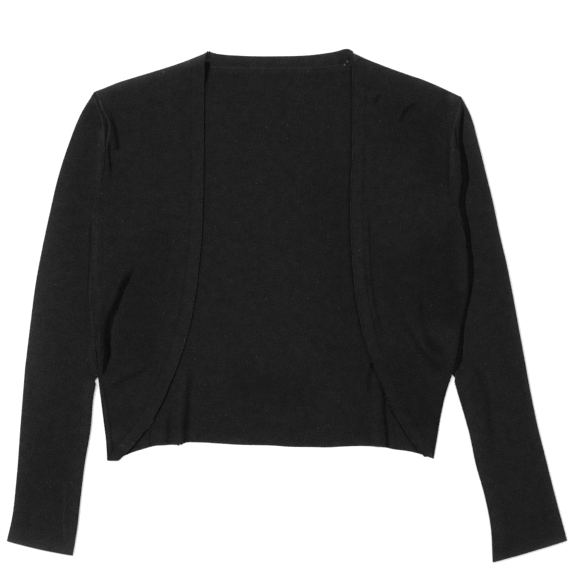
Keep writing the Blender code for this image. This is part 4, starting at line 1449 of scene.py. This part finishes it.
@dataclass
class Sleeve:
    """One set-in sleeve: a flattened tube that opens at its armhole and its cuff."""

    side: Side
    word: str
    # The rows of points down the sleeve, and the points of a row: beside the seam, along the rest
    # of the top, round each half of the outer fold, and underneath.
    rows: int = 300
    detail_points: int = 44
    top_points: int = 34
    round_points: int = 14
    under_points: int = 16
    wall: float = 1.0
    swell: float = 0.35
    # The height at which the folds stand out furthest, the height over which the top's creases come
    # in above it, the width that rounds off below it, how far under the inner fold the seam lies,
    # and the length over which the sleeve closes below the underarm.
    widest: float = 2.6
    top_blend: float = 1.5
    under_round: float = 5.0
    seam_inset: float = 4.0
    closing: float = 10.0
    # The most of the sleeve's width that its outer fold, its other rounded edges, the strip beside
    # the armhole seam and the crevice may take.
    most_round: float = 0.42
    most_edge: float = 0.3
    most_strip: float = 0.35
    most_gap: float = 0.25
    # The fine points beside the seam reach so many of the lip's rises beyond the crevice, but over
    # no more than a share of the top.
    detail_rises: float = 2.5
    most_detail: float = 0.9
    # The narrowest strip that is one, the width over which it rounds off into the crevice, how far
    # the cloth rolls down at the seam where there is none, and over what width.
    least_strip: float = 0.05
    strip_round: float = 2.5
    seam_roll: float = 0.9
    seam_reach: float = 1.3
    # How far the lip hangs over the crevice, the most of the crevice that it hangs over, and how
    # wide it is. The painted shade in the crevice starts over a width and ends from a share of the
    # rise up.
    overhang: float = 1.8
    most_overhang: float = 0.4
    lip_width: float = 4.0
    shade_start: float = 1.2
    shade_end: float = 0.2
    # How steeply the painted highlight on the outer fold falls off, how strong the painted highlight
    # on the inner fold is and over what width, and the length over which the cuff's edge comes to bow
    # out.
    glow_fall: float = 1.5
    edge_light: float = 0.5
    edge_reach: float = 11.0
    bow_reach: float = 30.0
    # The width of the cuff's turned edge, the painted highlight at its very end, its groove and the
    # groove's painted shade, and how far it rolls down at the end and over what width.
    cuff: float = 5.5
    cuff_rim: float = 0.85
    cuff_groove: float = 0.7
    cuff_shade: float = 0.15
    cuff_roll: float = 1.3
    cuff_roll_reach: float = 1.6

    def outlines(self) -> tuple[Array, Array, int]:
        """Draws the sleeve's two long sides, from the shoulder down.

        Returns:
            The outer fold, the inner side, and the row at which the underarm is.
        """
        armhole = moved_out(armhole_line(self.side), SEAM_GAP, self.side.sign)
        inner = smooth_line(self.side.sleeve_inner, steps=120)
        cap = smooth_line(self.side.sleeve_outer_cap, steps=120)
        outer = smooth_line(self.side.sleeve_outer, steps=120)
        reach = lengths_along(armhole)[-1]
        upper = round(self.rows * (reach / (reach + lengths_along(inner)[-1])))
        up_shares = np.linspace(0.0, 1.0, upper + 1)
        low_shares = np.linspace(0.0, 1.0, self.rows - upper + 1)
        return (chain(evenly(cap, up_shares), evenly(outer, low_shares)),
                chain(evenly(armhole, up_shares), evenly(inner, low_shares)), upper)

    def head_at(self, down: float) -> HeadRow:
        """The armhole table's row at a share of the way down the armhole."""
        known = np.array(self.side.head).T
        return HeadRow(*[float(np.interp(down, known[0], column)) for column in known])

    def tube_at(self, down: float) -> TubeRow:
        """The tube table's row at a share of the way down the sleeve."""
        known = np.array(self.side.tube).T
        return TubeRow(*[float(np.interp(down, known[0], column)) for column in known])

    def outer_fold(self, width: float, tube: TubeRow, round_width: float) -> tuple[Array, Array]:
        """Draws the two halves of the outer fold.

        Args:
            width: the sleeve's width, from its seam side to its outer fold.
            tube: its rounded section there.
            round_width: the width over which the upper layer rounds off.

        Returns:
            The top's and the underside's halves, each as distances in from the seam side, heights
            and how light they are.
        """
        turn = np.linspace(0.0, math.pi / 2, self.round_points + 1)
        near_edge = round_width * (1 - np.sin(turn))
        height = self.widest + (tube.crown - self.widest) * np.cos(turn)
        top = np.stack([width - near_edge, height, self.glow(near_edge, tube)], axis=1)
        inset = min(self.under_round, self.most_edge * width)
        low = np.stack([width - inset * (1 - np.cos(turn)), self.widest * (1 - np.sin(turn)),
                        1 + tube.glow * np.cos(turn)], axis=1)
        return top, low

    def glow(self, from_edge: Array, tube: TubeRow) -> Array:
        """The painted highlight on the sleeve's colour, by the distance from its outer fold."""
        soft = tube.glow * np.exp(-((from_edge / tube.spread) ** self.glow_fall))
        return 1 + soft + self.side.sleeve_rim * np.exp(-from_edge / RIM_FADE)

    def open_section(self, width: float, tube: TubeRow, head: HeadRow) -> Array:
        """Draws the sleeve's section beside the armhole, where its seam side is open.

        Args:
            width: the sleeve's width, from the seam to its outer fold.
            tube: its rounded section there.
            head: its upper layer beside the seam there.

        Returns:
            The line of the cloth's outer face, as distances in from the seam, heights and how light
            it is.
        """
        round_width = min(tube.outer_round, self.most_round * width)
        top, low = self.outer_fold(width, tube, round_width)
        strip = min(head.strip, self.most_strip * width)
        gap = min(head.gap, self.most_gap * width)
        flat = width - round_width
        zone = min(strip + gap + self.detail_rises * head.rise, self.most_detail * flat)
        near = np.linspace(0.0, zone, self.detail_points + 1)
        far = np.linspace(zone, flat, self.top_points + 1)
        s = np.concatenate([near, far[1:]])
        beyond = s - strip - gap
        crown = tube.crown - head.floor
        lip = head.lip - head.floor
        body = lip + (crown - lip) * ease(beyond / max(flat - strip - gap, 1e-6))
        rise = np.clip(beyond / head.rise, 0.0, 1.0)
        height = head.floor + body * ease(rise)
        if strip > self.least_strip:
            top_at = max(1 - self.strip_round / strip, 0.5)
            height += head.crown * self.strip_form(s / strip, top_at)
        else:
            height -= self.seam_roll * rounded(1 - np.clip(s / self.seam_reach, 0.0, 1.0))
        # Painted shade darkens the crevice's floor and its lip's wall, and a painted highlight lies
        # along the outer fold.
        start = ease((s - strip + self.shade_start / 2) / self.shade_start)
        end = ease((beyond - self.shade_end * head.rise) / head.rise)
        light = self.glow(width - s, tube) * (1 - head.dark * (start * (1 - end)))
        lean = ease(rise) * (1 - ease((beyond - head.rise) / self.lip_width))
        s = s - min(self.overhang, self.most_overhang * gap) * lean
        under = np.linspace(low[-1, 0], 0.0, self.under_points + 1)
        return chain(np.stack([s, height, light], axis=1), top, low, self.underside(under))

    @staticmethod
    def strip_form(across: Array, top_at: float) -> Array:
        """Rounds the strip of cloth between the armhole seam and the crevice.

        Args:
            across: how far across the strip each point is, as a share of its width.
            top_at: the share at which it is highest.

        Returns:
            The strip's height, from 0 to 1.
        """
        t = np.clip(across, 0.0, 1.0)
        climb = np.sin(math.pi / 2 * np.clip(t / top_at, 0.0, 1.0))
        return climb * (1 - rounded(np.maximum(t - top_at, 0.0) / (1 - top_at)))

    def closed_section(self, width: float, tube: TubeRow) -> Array:
        """Draws the sleeve's section where it is a whole tube, its seam under the inner fold.

        Args:
            width: the sleeve's width, from its inner to its outer fold.
            tube: its rounded section there.

        Returns:
            The line of the cloth's outer face, as distances in from the inner fold, heights and how
            light it is.
        """
        round_width = min(tube.outer_round, self.most_round * width)
        top, low = self.outer_fold(width, tube, round_width)
        inner = min(tube.inner_round, self.most_edge * width)
        turn = np.linspace(-math.pi / 2, math.pi / 2, self.detail_points + 1)
        rise = np.where(turn < 0, self.widest, tube.crown - self.widest)
        inset = np.where(turn < 0, self.seam_inset, inner) * (1 - np.cos(turn))
        # Painted highlights lie along the inner fold and, through the glow, along the outer one.
        light = 1 + self.edge_light * bell(inset, self.edge_reach)
        fold = np.stack([inset, self.widest + rise * np.sin(turn), light], axis=1)
        run = np.linspace(inner, width - round_width, self.top_points + 1)
        run_light = self.glow(width - run, tube) + self.edge_light * bell(run, self.edge_reach)
        top_run = np.stack([run, np.full(len(run), tube.crown), run_light], axis=1)
        under = np.linspace(low[-1, 0], self.seam_inset + SEAM_GAP, self.under_points + 1)
        return chain(fold, top_run, top, low, self.underside(under))

    @staticmethod
    def underside(run: Array) -> Array:
        """The cloth that lies on the table, given as distances in from the seam side."""
        return np.stack([run, np.zeros(len(run)), np.ones(len(run))], axis=1)

    def grid(self) -> tuple[Array, Array, Array]:
        """Lays the sleeve's sections along it.

        Returns:
            The points, their places on the flat cut and how light they are, each as rows down the
            sleeve and points round it.
        """
        outer, inner, upper = self.outlines()
        walked = lengths_along((outer + inner) / 2)
        inner_walked = lengths_along(inner)
        end = outer[-1] - inner[-1]
        down = np.array([end[1], -end[0]]) * self.side.sign / np.linalg.norm(end)
        points = []
        cut = []
        light = []
        for row, (fold, seam) in enumerate(zip(outer, inner)):
            width = float(np.linalg.norm(fold - seam))
            outward = (fold - seam) / width
            tube = self.tube_at(row / self.rows)
            head = self.head_at(min(row / upper, 1.0))
            line = self.open_section(width, tube, head)
            if row > upper:
                closed = self.closed_section(width, tube)
                blend = float(ease((inner_walked[row] - inner_walked[upper]) / self.closing))
                line = line * (1 - blend) + closed * blend
            to_end = walked[-1] - walked[row]
            bow = self.side.cuff_bow * float(ease(1 - to_end / self.bow_reach))
            middle = np.sin(math.pi * np.clip(line[:, 0] / width, 0.0, 1.0))
            plan = seam + line[:, :1] * outward + bow * middle[:, None] * down
            points.append(np.column_stack([plan, line[:, 1]]))
            light.append(line[:, 2])
            around = lengths_along(line[:, :2])
            cut.append(np.column_stack([around - around[-1] / 2,
                                        np.full(len(line), -walked[row])]))
        return np.array(points), np.array(cut), np.array(light)

    def creased(self, points: Array, light: Array) -> Array:
        """Presses the creases and the cloth's unevenness into the upper layer.

        Args:
            points: the sleeve's points, which it moves.
            light: how light they are.

        Returns:
            How light they are with the creases.
        """
        lift, shift, creased = Relief(self.side.sleeve_creases).press(points[:, :2])
        topside = ease((points[:, 2] - self.widest) / self.top_blend)
        points[:, 2] += (lift + self.swell * unevenness(points[:, :2])) * topside
        points[:, :2] += shift * topside[:, None]
        # The creases put their painted shade and highlights on the upper layer's colour, and the
        # waves a little painted light where they rise.
        light = light * (1 + (creased - 1) * topside)
        return light * (1 + UNEVEN_LIGHT * unevenness(points[:, :2]))

    def cuffed(self, points: Array, light: Array, to_end: Array) -> Array:
        """Turns and rolls the cuff, and paints a highlight near its end and shade in its groove.

        Args:
            points: the sleeve's points, which it moves.
            light: how light they are.
            to_end: how far they are from the cuff's edge.

        Returns:
            How light they are with the cuff.
        """
        # Painted highlights near the cuff and at its very end, and painted shade in its groove.
        light = light + self.side.cuff_glow * bell(to_end, self.side.cuff_reach)
        light += self.cuff_rim * np.exp(-to_end / RIM_FADE)
        light -= self.cuff_shade * bell(to_end - self.cuff, self.cuff_groove)
        turned = turned_up(to_end, self.cuff, self.cuff_groove)
        rolled = self.cuff_roll * rounded(1 - np.clip(to_end / self.cuff_roll_reach, 0.0, 1.0))
        upward = ease(points[:, 2] - self.widest)
        downward = ease(self.widest - points[:, 2])
        points[:, 2] += (turned - rolled) * upward + rolled * downward
        return light

    def build(self, material: bpy.types.Material) -> bpy.types.Object:
        """Builds the sleeve as an object.

        Args:
            material: the sleeve's finish.

        Returns:
            The sleeve.
        """
        grid, cut, light = self.grid()
        down, around = grid.shape[:2]
        points = grid.reshape(-1, 3)
        light = self.creased(points, light.ravel())
        walked = np.repeat(-cut[:, 0, 1], around)
        light = self.cuffed(points, light, walked.max() - walked)
        sheet = index_grid(around - 1, down - 1)
        at = places(sheet)
        column = np.rint(at[:, 0] * (around - 1)).astype(int)
        row = down - 1 - np.rint(at[:, 1] * (down - 1)).astype(int)
        if self.side.sign < 0:
            column = around - 1 - column
        index = row * around + column
        shell = Shell(sheet, points[index], cut.reshape(-1, 2)[index], light[index])
        return shell.finish(self.word + "_sleeve_tube", self.wall, material)

    def cut_size(self) -> tuple[float, float, float]:
        """Measures the sleeve's flat cut.

        Returns:
            Its greatest width and its length, in millimetres, and its area, in square millimetres.
        """
        _, cut, _ = self.grid()
        around = cut[:, -1, 0] - cut[:, 0, 0]
        down = -cut[:, 0, 1]
        area = float(np.sum((around[1:] + around[:-1]) / 2 * np.diff(down)))
        return float(around.max()), float(down[-1]), area


@dataclass
class Studio:
    """The pale floor, the soft light and the camera straight above, with sizes in metres."""

    middle: tuple[float, float] = (0.00054, 0.01944)
    camera_height: float = 3.0
    seen: float = 0.6221
    floor_size: float = 12.0
    floor_gap: float = 0.0002
    board: str = "#f6f6f6"
    sky: float = 1.2
    lamp_power: float = 46.0
    lamp_size: float = 2.0
    lamp_place: tuple[float, float, float] = (-1.6, 0.6, 2.7)

    def floor(self) -> None:
        """Lays the floor, which isn't part of the garment."""
        sheet = bmesh.new()
        bmesh.ops.create_grid(sheet, x_segments=1, y_segments=1, size=self.floor_size / 2)
        bmesh.ops.translate(sheet, verts=sheet.verts, vec=(0.0, 0.0, -self.floor_gap))
        mesh = bpy.data.meshes.new("floor")
        sheet.to_mesh(mesh)
        sheet.free()
        # White card: matt and even, with no gloss that would show the lamp.
        material = bpy.data.materials.new("white_board")
        material.use_nodes = True
        shader = material.node_tree.nodes["Principled BSDF"]
        shader.inputs["Base Color"].default_value = from_hex(self.board)
        shader.inputs["Roughness"].default_value = 0.9
        shader.inputs["Specular IOR Level"].default_value = 0.0
        mesh.materials.append(material)
        board = bpy.data.objects.new("floor", mesh)
        bpy.context.scene.collection.objects.link(board)

    def lights(self) -> None:
        """Sets an even white sky and a broad soft lamp to the upper left."""
        world = bpy.data.worlds.new("even_sky")
        world.use_nodes = True
        world.node_tree.nodes["Background"].inputs["Color"].default_value = (1.0, 1.0, 1.0, 1.0)
        world.node_tree.nodes["Background"].inputs["Strength"].default_value = self.sky
        bpy.context.scene.world = world
        lamp = bpy.data.lights.new("softbox", "AREA")
        lamp.shape = "DISK"
        lamp.size = self.lamp_size
        lamp.energy = self.lamp_power
        softbox = bpy.data.objects.new("softbox", lamp)
        softbox.location = self.lamp_place
        aim = Vector((0.0, 0.0, 0.0)) - softbox.location
        softbox.rotation_euler = aim.to_track_quat("-Z", "Y").to_euler()
        bpy.context.scene.collection.objects.link(softbox)

    def camera(self) -> None:
        """Hangs a long-lens camera straight above the garment."""
        lens = bpy.data.cameras.new("camera")
        lens.sensor_width = 36.0
        lens.lens = lens.sensor_width * self.camera_height / self.seen
        lens.clip_end = 100.0
        camera = bpy.data.objects.new("camera", lens)
        camera.location = (self.middle[0], self.middle[1], self.camera_height)
        bpy.context.scene.collection.objects.link(camera)
        bpy.context.scene.camera = camera
        bpy.context.scene.view_settings.view_transform = "Standard"


def declare(piece: bpy.types.Object, node: str, flat: tuple[float, float], area: float) -> None:
    """Says what a piece of cloth is and stands for.

    Args:
        piece: the piece.
        node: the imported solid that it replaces.
        flat: the width and length of its cut, in millimetres.
        area: the area of its cut, in square millimetres.
    """
    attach(piece, "root")
    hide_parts(node)
    log.info("%s: cut %.0f x %.0f mm, %.4f square metres, %d faces", piece.name, flat[0], flat[1],
             area * MM * MM, len(piece.data.polygons))


def declare_panel(piece: bpy.types.Object, panel: Panel, node: str) -> None:
    """Says what a piece made from a panel is, with its cut's size from its outline.

    Args:
        piece: the piece.
        panel: the panel that it was built from.
        node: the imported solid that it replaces.
    """
    width, length = np.ptp(panel.outline(), axis=0)
    declare(piece, node, (width, length), panel.cut_area())


def declare_strip(piece: bpy.types.Object, panel: Panel, node: str) -> None:
    """Says what a curved band is, whose cut is a straight strip.

    Args:
        piece: the band.
        panel: the panel that it was built from.
        node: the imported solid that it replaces.
    """
    long = max(lengths_along(line)[-1] for line in (panel.left, panel.right, panel.top))
    area = panel.cut_area()
    declare(piece, node, (area / long, long), area)


def main() -> None:
    """Builds the studio and each piece of the shrug."""
    logging.basicConfig(level=logging.INFO, format="%(name)s %(message)s")
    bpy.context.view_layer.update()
    studio = Studio()
    studio.camera()
    studio.lights()
    studio.floor()
    jersey = BlackJersey().make()
    back = Back()
    back_panel = back.panel()
    back_piece = back_panel.build(jersey)
    declare_panel(back_piece, back_panel, "back_panel")
    neck = back.band()
    declare_strip(neck.build(jersey), neck, "back_neck_band")
    for side, word in ((RIGHT, "right"), (LEFT, "left")):
        front = Front(side, word, back.lift())
        panel = front.panel()
        declare_panel(panel.build(jersey), panel, word + "_front")
        band = front.band()
        declare_strip(band.build(jersey), band, word + "_front_band")
        sleeve = Sleeve(side, word)
        width, length, area = sleeve.cut_size()
        declare(sleeve.build(jersey), word + "_sleeve", (width, length), area)


if __name__ == "__main__":
    main()
